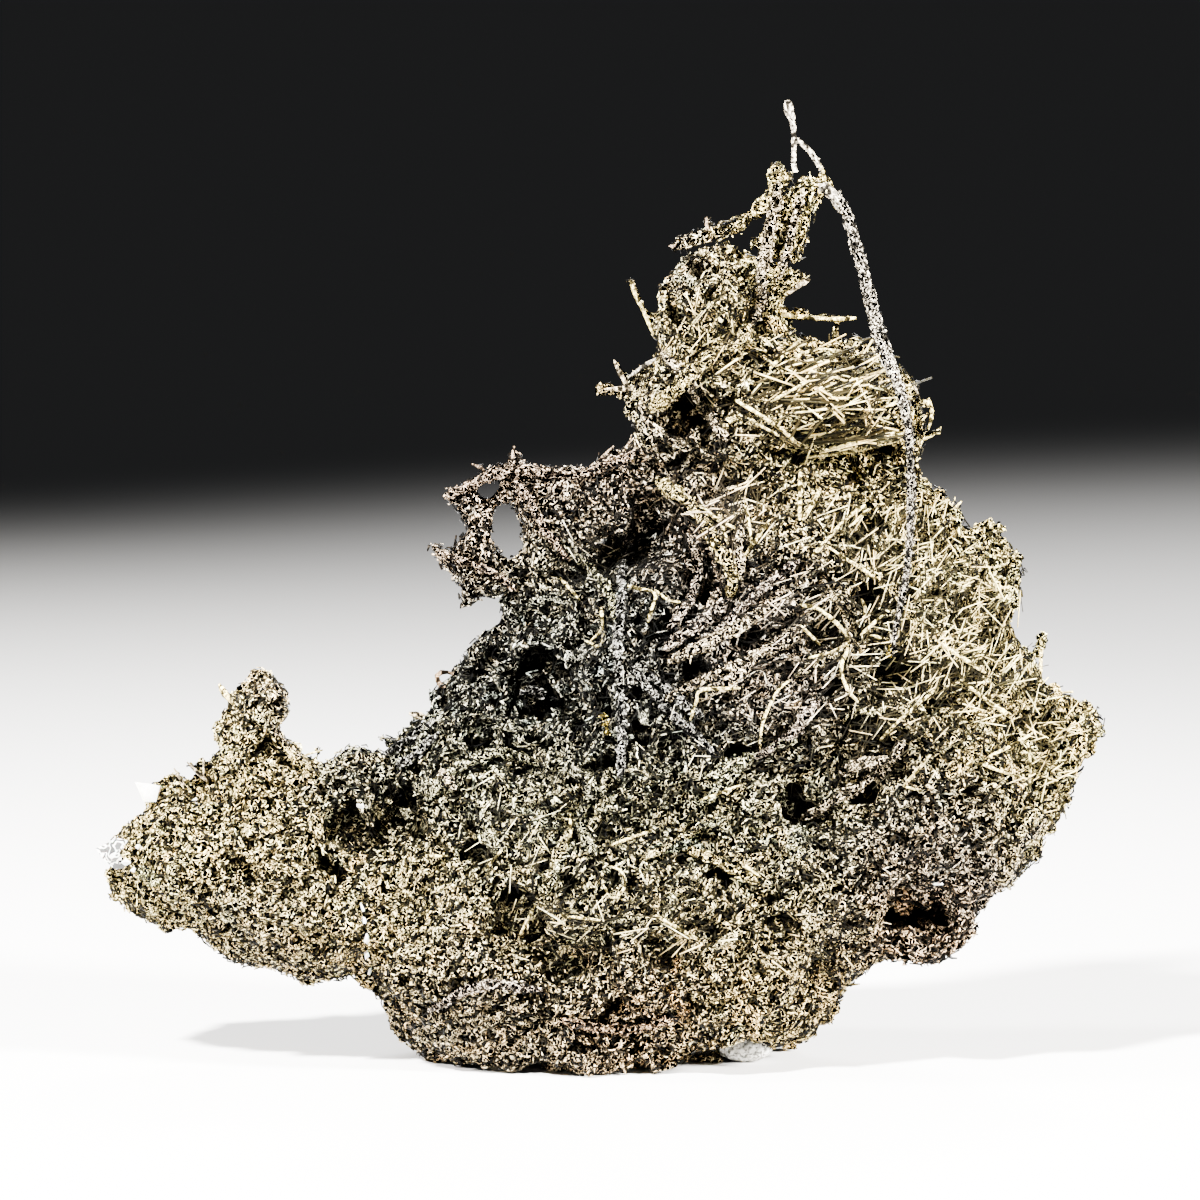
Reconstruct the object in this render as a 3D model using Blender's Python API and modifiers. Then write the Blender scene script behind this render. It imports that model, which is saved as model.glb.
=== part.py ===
"""A free-standing specimen of native wire silver.

The specimen is a matted mass of silver wires that stands on a flat foot. A lobe
runs off it to the left, a lattice of wires arches off its upper left shoulder, and
a tower rises from its top. The tower carries a crest that forks into a branch, a
long curved strand that hangs down in front of the mass, and one thin top wire.
Two chips of calcite and a pebble are caught in the silver.

World axes: X to the right, Y away from the viewer, Z up. The origin is the middle
of the foot. All the sizes below are millimetres.
"""

import math
from collections import namedtuple

import bmesh
import bpy
import numpy as np
from mathutils import Matrix, Vector, noise
from mathutils.bvhtree import BVHTree

MM = 0.001

# Driving dimensions
KERF = 0.3
FOOT_Z = 0.0
FOOT_HALF_DEPTH = 12.0
MASS_HALF_DEPTH = 19.0
MASS_WIDEST_Z = 12.0
MASS_TOP_HALF_DEPTH = 9.5
MASS_TOP_Z = 60.0
LOBE_HALF_DEPTH = 12.5
ARCH_HALF_DEPTH = 5.0
TOWER_HALF_DEPTH = 9.0
CREST_HALF_DEPTH = 2.0
BRANCH_HALF_DEPTH = 1.5
MASS_MIDDLE_Y = 1.0
LOBE_MIDDLE_Y = 1.5
EDGE_HALF_DEPTH = 1.6
TWIG_SIDES = 4
TWIG_BEND = (0.12, 0.2, 0.15)
RIDGE_SIDES = 4
STRAND_SIDES = 6
EDGE_ROUGHNESS = 0.4
PIT_UNEVENNESS = 0.9

# Where the pieces part from each other, in X and Z
TOWER_CUT_Z = 60.2
LOBE_CUT = ((-23.5, 8.2), (-22.0, 30.4))
ARCH_CUT = ((-10.3, 46.6), (3.2, 54.0))
ARCH_RIGHT_X = 3.2
ARCH_TOP_Z = 62.3
ARCH_BAY_LEFT_X = -30.0
CLEAR_OF_ALL = 40.0
CREST_CUT = ((12.0, 82.7), (20.0, 79.4))
BRANCH_CUT = ((17.0, 84.9), (19.2, 87.8))

# The underside rises from the foot to the front right, where the pebble is caught
UNDERCUT_POINT = (10.5, -8.0, 0.0)
UNDERCUT_NORMAL = (0.33, -0.17, -0.93)
UNDERSIDE_NOTCHES = (
    (11.8, -12.5, 0.2, 3.8, 9.5, 2.5), (3.9, -14.0, 0.0, 1.1, 6.0, 1.7),
    (-5.5, -15.0, -0.4, 3.0, 6.0, 1.1), (15.2, -14.0, 0.0, 4.2, 12.0, 3.9),
)

# How a form is grown: the spacing of its balls, how far from the edge it is deepest, the
# grain of the first and the last skin, the swellings as size, rise and seed, then the
# triangles left before twigs and ridges are added
Growth = namedtuple("Growth", "step swell first_skin last_skin swellings faces seed")
MASS_GROWTH = Growth(step=2.2, swell=13.0, first_skin=0.8, last_skin=0.75,
                     swellings=((8.0, 3.0, 1), (3.2, 1.1, 2)), faces=3080, seed=1)
LOBE_GROWTH = Growth(step=1.8, swell=8.0, first_skin=0.6, last_skin=0.6,
                     swellings=((6.0, 2.0, 3), (2.8, 0.9, 4)), faces=1050, seed=2)
ARCH_GROWTH = Growth(step=0.9, swell=4.0, first_skin=0.4, last_skin=0.4,
                     swellings=((2.6, 0.7, 5),), faces=900, seed=3)
TOWER_GROWTH = Growth(step=1.5, swell=8.0, first_skin=0.6, last_skin=0.55,
                      swellings=((5.0, 1.6, 6), (2.6, 0.8, 7)), faces=900, seed=4)
COLUMN_GROWTH = Growth(step=0.8, swell=2.0, first_skin=0.35, last_skin=0.35,
                       swellings=((2.0, 0.5, 8),), faces=280, seed=5)
BRANCH_GROWTH = Growth(step=0.6, swell=1.0, first_skin=0.3, last_skin=0.3,
                       swellings=((1.6, 0.3, 9),), faces=300, seed=6)

# Outlines in X and Z, each one round the piece and a little way into its neighbour
MASS_OUTLINE = (
    (-23.6, 8.2), (-23.4, 16.2), (-23.2, 23.2), (-22.6, 30.2), (-20.0, 32.4),
    (-18.2, 33.6), (-16.6, 34.6), (-17.2, 36.5), (-16.4, 38.2), (-14.6, 39.9),
    (-13.4, 41.2), (-11.8, 43.0), (-9.4, 43.2), (-9.2, 45.6), (-6.0, 48.4),
    (3.4, 53.6), (3.4, 61.2), (12.0, 62.0), (22.0, 60.6), (24.5, 59.5),
    (27.0, 60.8), (28.6, 59.4), (29.6, 62.0), (33.0, 62.0), (32.4, 57.8), (33.8, 56.0),
    (35.2, 55.0), (35.7, 52.8), (37.9, 52.9), (39.4, 54.4), (41.8, 53.2), (43.4, 52.0),
    (43.2, 49.4), (42.5, 46.5), (41.4, 43.4), (43.4, 40.5), (43.8, 38.2), (46.6, 36.2),
    (49.0, 35.8), (50.0, 33.2), (49.0, 31.0), (48.2, 28.8), (46.8, 26.2), (45.6, 24.0),
    (44.3, 21.6), (43.9, 19.8), (41.4, 18.8), (39.2, 16.6), (37.8, 13.8), (36.4, 11.6),
    (33.0, 10.5), (30.5, 10.0), (26.4, 8.5), (24.9, 6.6), (22.8, 3.8), (19.6, 1.8),
    (19.4, -8.0), (-18.4, -8.0), (-18.6, 0.9), (-20.4, 2.3), (-21.3, 4.2), (-21.4, 6.2),
)
LOBE_OUTLINE = (
    (-49.8, 21.4), (-49.3, 18.2), (-48.9, 15.2), (-45.8, 13.8), (-43.8, 12.6),
    (-41.2, 12.6), (-38.8, 10.8), (-36.6, 8.8), (-33.5, 9.0), (-30.0, 8.1),
    (-26.4, 7.4), (-20.0, 7.9), (-17.0, 20.0), (-19.0, 29.5), (-22.0, 30.4),
    (-23.2, 31.6), (-25.8, 31.1), (-27.2, 29.6), (-29.8, 30.8), (-31.6, 33.3),
    (-31.6, 36.4), (-32.4, 38.2), (-33.3, 39.3), (-34.9, 38.4), (-35.8, 37.2),
    (-37.6, 35.2), (-39.5, 33.7), (-39.3, 31.0), (-38.4, 30.0), (-38.2, 28.8),
    (-39.8, 27.4), (-42.0, 28.2), (-43.6, 28.1), (-45.9, 26.3), (-46.4, 24.8),
    (-48.2, 23.0),
)
ARCH_OUTLINE = (
    (-9.0, 43.6), (-10.3, 46.4), (-12.0, 46.8), (-13.2, 45.1), (-14.0, 45.6),
    (-13.6, 47.4), (-14.4, 48.4), (-15.9, 50.0), (-17.3, 51.9), (-14.7, 51.3),
    (-13.5, 53.2), (-13.7, 55.0), (-15.6, 55.9), (-15.7, 57.0), (-12.0, 58.7),
    (-9.6, 59.9), (-8.5, 61.0), (-7.0, 59.6), (-1.0, 59.4), (0.6, 60.8), (4.2, 61.6),
    (5.0, 53.6),
)
ARCH_HOLES = (
    ((-12.7, 56.2), (-12.4, 57.4), (-10.2, 58.3), (-9.2, 57.7), (-11.2, 56.4)),
    ((-10.4, 56.0), (-8.8, 56.2), (-7.6, 53.6), (-8.0, 50.8), (-9.6, 50.2), (-11.0, 52.4)),
    ((-8.2, 48.5), (-7.2, 48.2), (-7.0, 46.8), (-7.9, 46.7)),
)
MASS_HOLE = ((3.7, 56.2), (5.6, 56.0), (5.2, 54.3), (3.9, 52.6), (2.8, 53.6))
TOWER_OUTLINE = (
    (3.5, 58.0), (3.3, 63.2), (2.2, 64.6), (1.7, 66.6), (3.2, 68.0), (5.8, 70.8),
    (4.9, 73.2), (6.0, 75.2), (5.5, 76.6), (6.2, 78.3), (8.0, 79.8), (9.2, 81.0),
    (12.2, 82.6), (15.4, 83.4), (20.4, 81.0), (20.2, 79.4), (20.9, 78.5), (18.9, 76.9),
    (17.4, 75.4), (18.4, 73.6), (22.0, 72.2), (25.0, 72.9), (27.4, 71.8), (30.4, 69.9),
    (32.1, 67.6), (31.7, 65.2), (32.6, 63.6), (32.2, 61.6), (33.0, 57.0), (29.2, 57.0),
    (29.5, 61.0), (27.0, 60.9), (24.0, 60.6), (22.2, 59.8), (20.0, 57.6),
)
COLUMN_OUTLINE = (
    (12.4, 79.0), (13.8, 82.2), (15.8, 82.4), (16.3, 83.6), (17.2, 85.0), (18.4, 86.4),
    (18.8, 87.8), (19.5, 88.6), (21.0, 88.4), (22.4, 88.8), (23.1, 87.4), (22.0, 85.9),
    (21.0, 84.6), (20.6, 83.4), (20.6, 81.9), (19.7, 80.4), (19.4, 77.6),
)
BRANCH_OUTLINE = (
    (7.0, 81.1), (8.0, 82.6), (10.4, 83.4), (13.4, 84.0), (15.5, 85.8), (16.8, 86.8),
    (16.9, 89.2), (17.6, 90.0), (18.5, 89.2), (19.2, 88.6), (18.4, 87.4), (20.4, 86.2),
    (18.6, 84.4), (17.0, 84.9), (15.4, 84.3), (14.0, 82.9), (12.4, 82.7), (10.4, 82.0),
    (9.0, 81.3),
)

# Lumps that stand out from the general form: X, Y, Z and the three radii
MASS_LUMPS = (
    (0.5, -10.5, 16.0, 12.5, 9.5, 10.0), (-14.5, -8.5, 11.0, 8.0, 9.5, 8.0),
    (12.5, -10.0, 14.5, 8.5, 9.0, 6.5), (31.0, -7.0, 25.5, 12.0, 10.0, 10.5),
    (28.0, -3.5, 45.0, 9.5, 8.0, 8.0), (13.0, -6.0, 37.5, 8.5, 8.5, 8.5),
    (-14.0, -3.5, 28.0, 6.5, 9.0, 7.5), (2.0, -8.5, 29.0, 7.0, 8.5, 5.5),
    (6.0, 9.5, 18.0, 15.0, 11.0, 13.0), (26.0, 8.0, 28.0, 12.0, 10.0, 12.0),
    (14.0, 5.0, 46.0, 11.0, 8.0, 9.0), (-12.0, 8.0, 14.0, 9.0, 10.0, 9.0),
    (31.5, -5.5, 13.5, 7.5, 8.0, 3.4), (44.0, 0.0, 31.0, 5.0, 7.5, 6.0),
    (22.0, -9.5, 18.0, 6.5, 8.0, 5.0), (36.5, -3.0, 38.5, 6.0, 8.0, 6.0),
    (18.0, 4.0, 1.5, 3.0, 6.5, 6.0),
)
LOBE_LUMPS = (
    (-41.0, -4.5, 19.5, 5.5, 7.0, 4.5), (-32.5, -6.5, 18.5, 7.0, 8.0, 6.5),
    (-33.5, -1.5, 35.0, 3.2, 4.6, 3.6), (-35.5, -2.5, 30.0, 3.8, 5.6, 3.4),
    (-26.5, -5.0, 15.5, 5.5, 8.5, 5.5), (-28.0, 5.0, 20.0, 7.0, 8.5, 7.5),
    (-38.5, 4.5, 19.0, 6.5, 7.0, 5.0), (-25.5, -5.0, 26.5, 4.0, 6.5, 4.0),
)
TOWER_LUMPS = (
    (12.5, -3.0, 66.5, 6.5, 6.0, 4.5), (23.0, -2.5, 66.5, 7.0, 6.0, 4.5),
    (10.5, -2.0, 75.0, 4.0, 5.0, 3.8), (14.0, 3.0, 68.0, 8.0, 6.5, 6.5),
    (8.0, -2.5, 62.5, 4.0, 5.5, 3.0),
)

# Hollows pressed in from the front or the back: X, Z, radius and depth
MASS_PITS = (
    (-7.0, 38.0, 6.0, 7.5), (-3.5, 43.5, 4.2, 4.5), (3.0, 52.5, 5.0, 5.5),
    (-8.0, 16.0, 3.6, 5.0), (-2.5, 12.2, 3.4, 4.5), (19.5, 26.4, 3.6, 5.0),
    (26.0, 28.0, 4.0, 4.5), (32.0, 14.9, 4.6, 5.5), (12.5, 18.2, 2.8, 4.0),
    (17.4, 15.2, 3.2, 4.5), (10.0, 22.8, 2.6, 3.5), (6.8, 12.6, 2.8, 3.5),
    (14.0, 31.0, 2.8, 4.0), (28.0, 47.2, 3.2, 4.5), (11.0, 48.5, 4.2, 5.0),
    (22.0, 44.0, 3.0, 4.0), (5.6, 31.6, 2.6, 3.0), (-20.4, 24.6, 3.4, 5.0),
    (29.2, 39.0, 2.6, 3.5), (-11.5, 33.0, 2.8, 3.5), (1.5, 5.0, 3.0, 3.0),
    (38.0, 45.0, 2.6, 2.5), (-17.5, 15.5, 2.4, 2.0), (21.5, 9.5, 3.0, 3.0),
)
MASS_BACK_PITS = (
    (-8.0, 20.0, 5.5, 5.5), (-5.0, 24.5, 4.0, 4.0), (18.0, 41.0, 6.5, 6.0),
    (22.0, 37.0, 4.5, 4.5), (31.0, 29.0, 5.5, 5.5), (14.0, 12.0, 4.5, 4.5),
    (27.0, 18.0, 4.0, 4.0), (-12.0, 33.0, 5.0, 5.0), (7.0, 48.0, 4.5, 4.0),
    (37.0, 41.0, 4.0, 3.5), (2.0, 7.0, 4.0, 3.5), (4.0, 33.0, 3.4, 4.0),
)
LOBE_PITS = (
    (-35.3, 19.8, 2.5, 3.5), (-31.5, 18.2, 2.2, 2.8), (-37.0, 13.6, 2.4, 3.0),
    (-33.0, 31.2, 2.2, 2.0), (-24.8, 23.2, 3.6, 5.5), (-42.5, 22.0, 2.2, 2.6),
    (-28.0, 12.5, 2.2, 2.4),
)
LOBE_BACK_PITS = ((-40.0, 18.0, 3.6, 3.2), (-30.0, 22.0, 4.2, 4.0))
TOWER_PITS = (
    (9.4, 65.6, 3.0, 4.0), (7.0, 61.6, 2.6, 3.0), (19.6, 61.0, 3.4, 3.5),
    (11.0, 71.4, 2.2, 2.6), (15.5, 75.0, 2.2, 2.6), (24.0, 68.0, 2.2, 2.2),
)
TOWER_BACK_PITS = ((12.0, 71.0, 3.4, 3.4), (22.0, 65.0, 3.2, 2.8))

# Strands that lie on the front face: points in X and Z, then the radius
MASS_RIDGES = (
    (((2.0, 50.0), (2.3, 45.0), (1.9, 39.0), (2.4, 33.0), (2.2, 28.4)), 0.75),
    (((5.6, 58.0), (9.0, 55.2), (12.0, 51.7), (13.8, 48.7), (13.5, 46.0)), 0.85),
    (((6.8, 40.7), (12.0, 43.6), (18.3, 46.4)), 0.75),
    (((6.3, 36.4), (12.0, 39.4), (19.8, 42.4)), 0.75),
    (((9.4, 40.6), (15.0, 45.4), (20.0, 50.2)), 0.7),
    (((5.0, 38.8), (7.8, 36.0), (10.8, 33.9)), 0.7),
    (((10.6, 28.4), (15.0, 30.8), (20.0, 32.4)), 0.75),
    (((24.5, 45.2), (26.2, 42.0), (24.8, 39.8), (24.5, 37.0), (26.2, 35.8)), 0.55),
    (((-4.6, 23.0), (-6.4, 19.0), (-8.4, 15.6)), 0.65),
)
TOWER_RIDGES = (
    (((5.2, 65.4), (9.2, 68.8), (12.6, 71.2), (16.2, 73.2)), 0.8),
    (((20.2, 60.9), (25.0, 61.9), (29.8, 62.7)), 0.6),
)

# Twigs that stand proud of an edge: root, tip, root radius and tip radius
MASS_TWIGS = (
    ((-18.0, -1.0, 32.0), (-22.2, -1.0, 32.5), 0.45, 0.3),
    ((-16.4, 0.0, 34.4), (-19.2, 0.0, 34.7), 0.45, 0.35),
    ((-15.0, 0.0, 38.0), (-16.1, 0.0, 38.8), 0.4, 0.25),
    ((43.6, 0.0, 36.0), (44.1, 0.0, 42.5), 0.4, 0.25),
    ((35.0, 0.0, 54.8), (36.2, 0.0, 56.0), 0.5, 0.2),
    ((23.0, 1.0, 8.0), (26.0, 1.0, 7.8), 0.5, 0.15),
)
LOBE_TWIGS = (
    ((-36.6, 0.0, 35.4), (-38.1, 0.0, 37.7), 0.35, 0.3),
    ((-39.6, 0.0, 28.4), (-41.2, 0.0, 29.9), 0.6, 0.3),
    ((-39.8, 0.0, 28.6), (-39.7, 0.0, 30.3), 0.5, 0.3),
    ((-41.6, 0.0, 27.4), (-42.6, 0.0, 29.3), 0.5, 0.25),
    ((-29.6, 0.0, 30.6), (-27.7, 0.0, 31.2), 0.4, 0.2),
)
ARCH_TWIGS = (
    ((-11.4, 0.0, 59.0), (-12.7, 0.0, 59.8), 0.4, 0.25),
    ((-8.8, 0.0, 60.2), (-8.6, 0.0, 61.6), 0.5, 0.3),
    ((-0.4, 0.0, 59.6), (1.4, 0.0, 61.5), 0.5, 0.3),
)
TOWER_TWIGS = (
    ((5.6, 0.0, 72.6), (2.9, 0.0, 78.3), 0.5, 0.25),
    ((4.0, 0.0, 67.4), (0.1, 0.0, 67.3), 0.55, 0.3),
    ((3.4, 0.0, 66.8), (1.4, 0.0, 70.2), 0.5, 0.3),
    ((5.8, 0.0, 70.4), (2.8, 0.0, 68.4), 0.5, 0.3),
    ((16.8, 0.0, 74.7), (25.5, 0.0, 74.4), 0.4, 0.33),
    ((18.2, 0.0, 76.6), (19.5, 0.0, 78.2), 0.55, 0.35),
    ((18.4, 0.0, 76.8), (21.1, 0.0, 78.4), 0.5, 0.3),
    ((23.4, 0.0, 72.2), (23.4, 0.0, 73.6), 0.4, 0.25),
    ((31.0, -1.0, 67.8), (32.0, -1.0, 66.0), 0.4, 0.25),
    ((31.4, -1.0, 62.0), (34.2, -1.0, 63.4), 0.4, 0.25),
    ((32.0, -1.0, 62.6), (33.0, -1.0, 66.4), 0.35, 0.2),
)
BRANCH_TWIGS = (
    ((11.0, 0.0, 82.2), (10.6, 0.0, 84.4), 0.45, 0.3),
    ((8.8, 0.0, 81.9), (6.9, 0.0, 81.6), 0.4, 0.25),
)

# The long strand's middle line in X, Y and Z, with its radius at each point
STRAND_LINE = (
    (23.5, -0.3, 87.0, 0.55), (24.1, -0.7, 85.9, 0.65), (24.8, -1.2, 84.2, 0.7),
    (25.4, -2.0, 82.0, 0.7), (26.1, -2.8, 79.6, 0.72), (26.7, -3.6, 77.2, 0.78),
    (27.3, -4.5, 74.6, 0.82), (28.0, -5.4, 72.2, 0.82), (28.8, -6.2, 70.0, 0.78),
    (29.6, -6.8, 68.0, 0.7), (30.3, -7.2, 65.4, 0.62), (30.7, -7.4, 62.4, 0.56),
    (30.8, -7.7, 59.2, 0.54), (30.8, -8.2, 56.2, 0.52), (30.7, -9.0, 53.2, 0.5),
    (30.4, -10.2, 50.2, 0.48), (29.9, -11.6, 47.6, 0.46), (29.3, -13.0, 45.0, 0.42),
    (29.0, -13.8, 43.2, 0.38), (28.8, -13.9, 41.8, 0.34),
)
STRAND_STEPS = 2
TOP_WIRE_LINE = (
    (19.5, 0.0, 88.9, 0.36), (19.3, 0.0, 90.0, 0.34), (19.3, 0.0, 92.2, 0.34),
    (19.2, 0.0, 94.0, 0.36), (18.8, 0.0, 95.2, 0.62), (18.7, 0.0, 96.2, 0.36),
)
SIDE_WIRE_LINE = (
    (22.1, 0.1, 89.2, 0.4), (21.5, 0.1, 90.2, 0.36), (20.6, 0.1, 91.4, 0.34),
    (19.3, 0.1, 92.5, 0.22),
)
SIDE_SPUR = ((21.3, 0.0, 90.0), (22.0, 0.0, 90.3), 0.24, 0.15)

# Mineral pieces: centre, half sizes and turn in degrees
CHIP = ((-45.3, -1.6, 27.1), (1.25, 0.45, 0.75), (10.0, 28.0, 12.0))
RIM = ((-47.9, -3.6, 21.2), (1.5, 0.6, 1.3), (0.0, 25.0, -18.0))
PEBBLE = ((14.6, -2.6, 1.35), (2.7, 2.2, 1.35))
CLEAVAGE_SKEW = 0.35
PEBBLE_ROUGHNESS = 0.35
POCKET_ROOM = 0.45


def fresh_scene():
    """Remove every object and give the collections for the parts and the cutters."""
    for old in list(bpy.data.objects):
        bpy.data.objects.remove(old, do_unlink=True)
    made = []
    for name in ("native_silver_specimen", "cutters"):
        folder = bpy.data.collections.new(name)
        bpy.context.scene.collection.children.link(folder)
        made.append(folder)
    return made


PARTS, CUTTERS = fresh_scene()


def material(name, colour, roughness, metallic):
    """Make a Principled material of one colour."""
    made = bpy.data.materials.new(name)
    made.use_nodes = True
    shader = made.node_tree.nodes["Principled BSDF"]
    shader.inputs["Base Color"].default_value = (*colour, 1.0)
    shader.inputs["Roughness"].default_value = roughness
    shader.inputs["Metallic"].default_value = metallic
    made.diffuse_color = (*colour, 1.0)
    return made


SILVER = material("wire_silver", (0.42, 0.38, 0.28), 0.45, 0.7)
DARK_SILVER = material("tarnished_silver", (0.27, 0.25, 0.22), 0.55, 0.7)
CALCITE = material("calcite", (0.82, 0.80, 0.76), 0.5, 0.0)
STONE = material("grey_stone", (0.50, 0.49, 0.44), 0.6, 0.0)


def as_object(name, mesh, folder):
    """Put a mesh in the scene under a name."""
    made = bpy.data.objects.new(name, mesh)
    folder.objects.link(made)
    return made


def evaluated_mesh(thing):
    """Give a copy of the mesh that an object's modifiers or curve make."""
    bpy.context.view_layer.update()
    graph = bpy.context.evaluated_depsgraph_get()
    return bpy.data.meshes.new_from_object(thing.evaluated_get(graph))


def apply_modifiers(thing):
    """Replace an object's mesh by what its modifiers make of it."""
    result = evaluated_mesh(thing)
    thing.modifiers.clear()
    old = thing.data
    thing.data = result
    bpy.data.meshes.remove(old)


def outline_slab(name, rings, y_middle, half_depth):
    """Extrude a flat outline, with its holes, along Y."""
    curve = bpy.data.curves.new(name, "CURVE")
    curve.dimensions = "2D"
    curve.fill_mode = "BOTH"
    curve.extrude = half_depth * MM
    for ring in rings:
        spline = curve.splines.new("POLY")
        spline.points.add(len(ring) - 1)
        for point, (x, z) in zip(spline.points, ring):
            point.co = (x * MM, z * MM, 0.0, 1.0)
        spline.use_cyclic_u = True
    flat = as_object(name, curve, CUTTERS)
    flat.rotation_euler = (math.radians(90.0), 0.0, 0.0)
    flat.location = (0.0, y_middle * MM, 0.0)
    mesh = evaluated_mesh(flat)
    mesh.transform(flat.matrix_world)
    bpy.data.objects.remove(flat)
    weld(mesh)
    return mesh


def weld(mesh):
    """Join a mesh's loose caps and turn all its faces outward."""
    shape = bmesh.new()
    shape.from_mesh(mesh)
    bmesh.ops.remove_doubles(shape, verts=shape.verts, dist=0.00001)
    bmesh.ops.recalc_face_normals(shape, faces=shape.faces)
    shape.to_mesh(mesh)
    shape.free()


def edge_distance(points, rings):
    """Give each point's distance to the nearest edge of the rings."""
    nearest = np.full(len(points), np.inf)
    for ring in rings:
        corners = np.array(ring)
        for start, end in zip(corners, np.roll(corners, -1, axis=0)):
            side = end - start
            along = np.clip((points - start) @ side / (side @ side), 0.0, 1.0)
            gap = np.linalg.norm(points - start - along[:, None] * side, axis=1)
            nearest = np.minimum(nearest, gap)
    return nearest


def inside(points, rings):
    """Say which points are inside the first ring and outside the others."""
    crossings = np.zeros(len(points), dtype=int)
    for ring in rings:
        corners = np.array(ring)
        for (x0, z0), (x1, z1) in zip(corners, np.roll(corners, -1, axis=0)):
            spans = (z0 > points[:, 1]) != (z1 > points[:, 1])
            rise = z1 - z0 if z1 != z0 else 1.0
            crosses = points[:, 0] < x0 + (x1 - x0) * (points[:, 1] - z0) / rise
            crossings += spans & crosses
    return crossings % 2 == 1


def ball(shape, centre, radii):
    """Add a closed ball, stretched to three radii, to a shape."""
    place = Matrix.Translation(Vector(centre) * MM) @ Matrix.Diagonal((*(Vector(radii) * MM), 1.0))
    bmesh.ops.create_icosphere(shape, subdivisions=2, radius=1.0, matrix=place)


def ball_mesh(name, centre, radii, clearance=0.0):
    """Make a closed ball as a mesh of its own, with room left round it."""
    shape = bmesh.new()
    ball(shape, centre, Vector(radii) + Vector((clearance, clearance, clearance)))
    mesh = bpy.data.meshes.new(name)
    shape.to_mesh(mesh)
    shape.free()
    return mesh


def inflated(name, rings, y_middle, half_depth, growth, lumps):
    """Fill an outline with balls that touch its edge, and skin them with one surface.

    half_depth is a function of Z.
    """
    edge_depth = min(EDGE_HALF_DEPTH, half_depth(rings[0][0][1]) * 0.45)
    slab = outline_slab(name, rings, y_middle, edge_depth)
    shape = bmesh.new()
    shape.from_mesh(slab)
    bpy.data.meshes.remove(slab)
    corners = np.array(rings[0])
    low, high = corners.min(axis=0), corners.max(axis=0)
    across = np.arange(low[0], high[0], growth.step)
    up = np.arange(low[1], high[1], growth.step)
    spots = np.array([(x, z) for x in across for z in up])
    scatter = np.random.default_rng(growth.seed)
    spots = spots + scatter.uniform(-0.4, 0.4, spots.shape) * growth.step
    spots = spots[inside(spots, rings)]
    reach = edge_distance(spots, rings)
    for (x, z), room in zip(spots, reach):
        room = min(room, growth.swell)
        radius = max(room, 0.35 * growth.step)
        depth = half_depth(z) * (room / growth.swell) ** 0.62
        drift = noise.noise((x / 17.0, 3.1 + growth.seed, z / 17.0))
        y = y_middle + 0.18 * half_depth(z) * drift
        ball(shape, (x, y, z), (radius, max(depth, radius * 0.8), radius))
    for x, y, z, *radii in lumps:
        ball(shape, (x, y, z), radii)
    mesh = bpy.data.meshes.new(name)
    shape.to_mesh(mesh)
    shape.free()
    body = as_object(name, mesh, PARTS)
    skin(body, growth.first_skin)
    return body


def grown(name, rings, y_middle, half_depth, growth, lumps=(), pits=(), back_pits=()):
    """Grow a form in its outline, with its swellings and its hollows."""
    body = inflated(name, rings, y_middle, half_depth, growth, lumps)
    roughen(body, *growth.swellings[0])
    press_pits(body, pits, 1)
    press_pits(body, back_pits, -1)
    for swelling in growth.swellings[1:]:
        roughen(body, *swelling)
    skin(body, growth.last_skin)
    reduce(body, growth.faces)
    return body


def skin(body, voxel):
    """Wrap an object in one new surface and drop any shell sealed inside it."""
    wrap = body.modifiers.new("skin", "REMESH")
    wrap.mode = "VOXEL"
    wrap.voxel_size = voxel * MM
    apply_modifiers(body)
    keep_largest(body.data)


def keep_largest(mesh):
    """Delete all but the widest connected part of a mesh."""
    shape = bmesh.new()
    shape.from_mesh(mesh)
    left = set(shape.verts)
    groups = []
    while left:
        group = []
        stack = [left.pop()]
        while stack:
            vert = stack.pop()
            group.append(vert)
            for edge in vert.link_edges:
                other = edge.other_vert(vert)
                if other in left:
                    left.remove(other)
                    stack.append(other)
        groups.append(group)
    groups.sort(key=lambda group: max(v.co.x + v.co.z for v in group)
                - min(v.co.x + v.co.z for v in group))
    for group in groups[:-1]:
        bmesh.ops.delete(shape, geom=group, context="VERTS")
    shape.to_mesh(mesh)
    shape.free()


def roughen(body, size, strength, seed):
    """Raise and sink the surface in lumps of a size, along its normals."""
    mesh = body.data
    shift = Vector((seed * 7.3, seed * 3.7, seed * 5.1))
    moves = []
    for vert in mesh.vertices:
        spot = vert.co / (size * MM) + shift
        swell = noise.noise(spot) + 0.5 * noise.noise(spot * 2.1)
        push = vert.normal * Vector((EDGE_ROUGHNESS, 1.0, EDGE_ROUGHNESS))
        moves.append(vert.co + push * (swell * strength * MM))
    for vert, place in zip(mesh.vertices, moves):
        vert.co = place


def press_pits(body, pits, push):
    """Press round hollows in the front face with push +1, or in the back with -1."""
    mesh = body.data
    for x, z, radius, depth in pits:
        for vert in mesh.vertices:
            if vert.normal.y * push > 0.2:
                continue
            uneven = 1.0 + PIT_UNEVENNESS * noise.noise(vert.co / (0.6 * radius * MM))
            gap = math.hypot(vert.co.x / MM - x, vert.co.z / MM - z) / radius * uneven
            if gap < 1.0:
                vert.co.y += push * depth * MM * (1.0 - gap * gap) ** 1.5


def reduce(body, faces):
    """Thin the mesh out to about a number of triangles."""
    thin = body.modifiers.new("reduce", "DECIMATE")
    thin.use_collapse_triangulate = True
    triangles = sum(len(face.vertices) - 2 for face in body.data.polygons)
    thin.ratio = min(1.0, faces / triangles)
    apply_modifiers(body)


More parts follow.
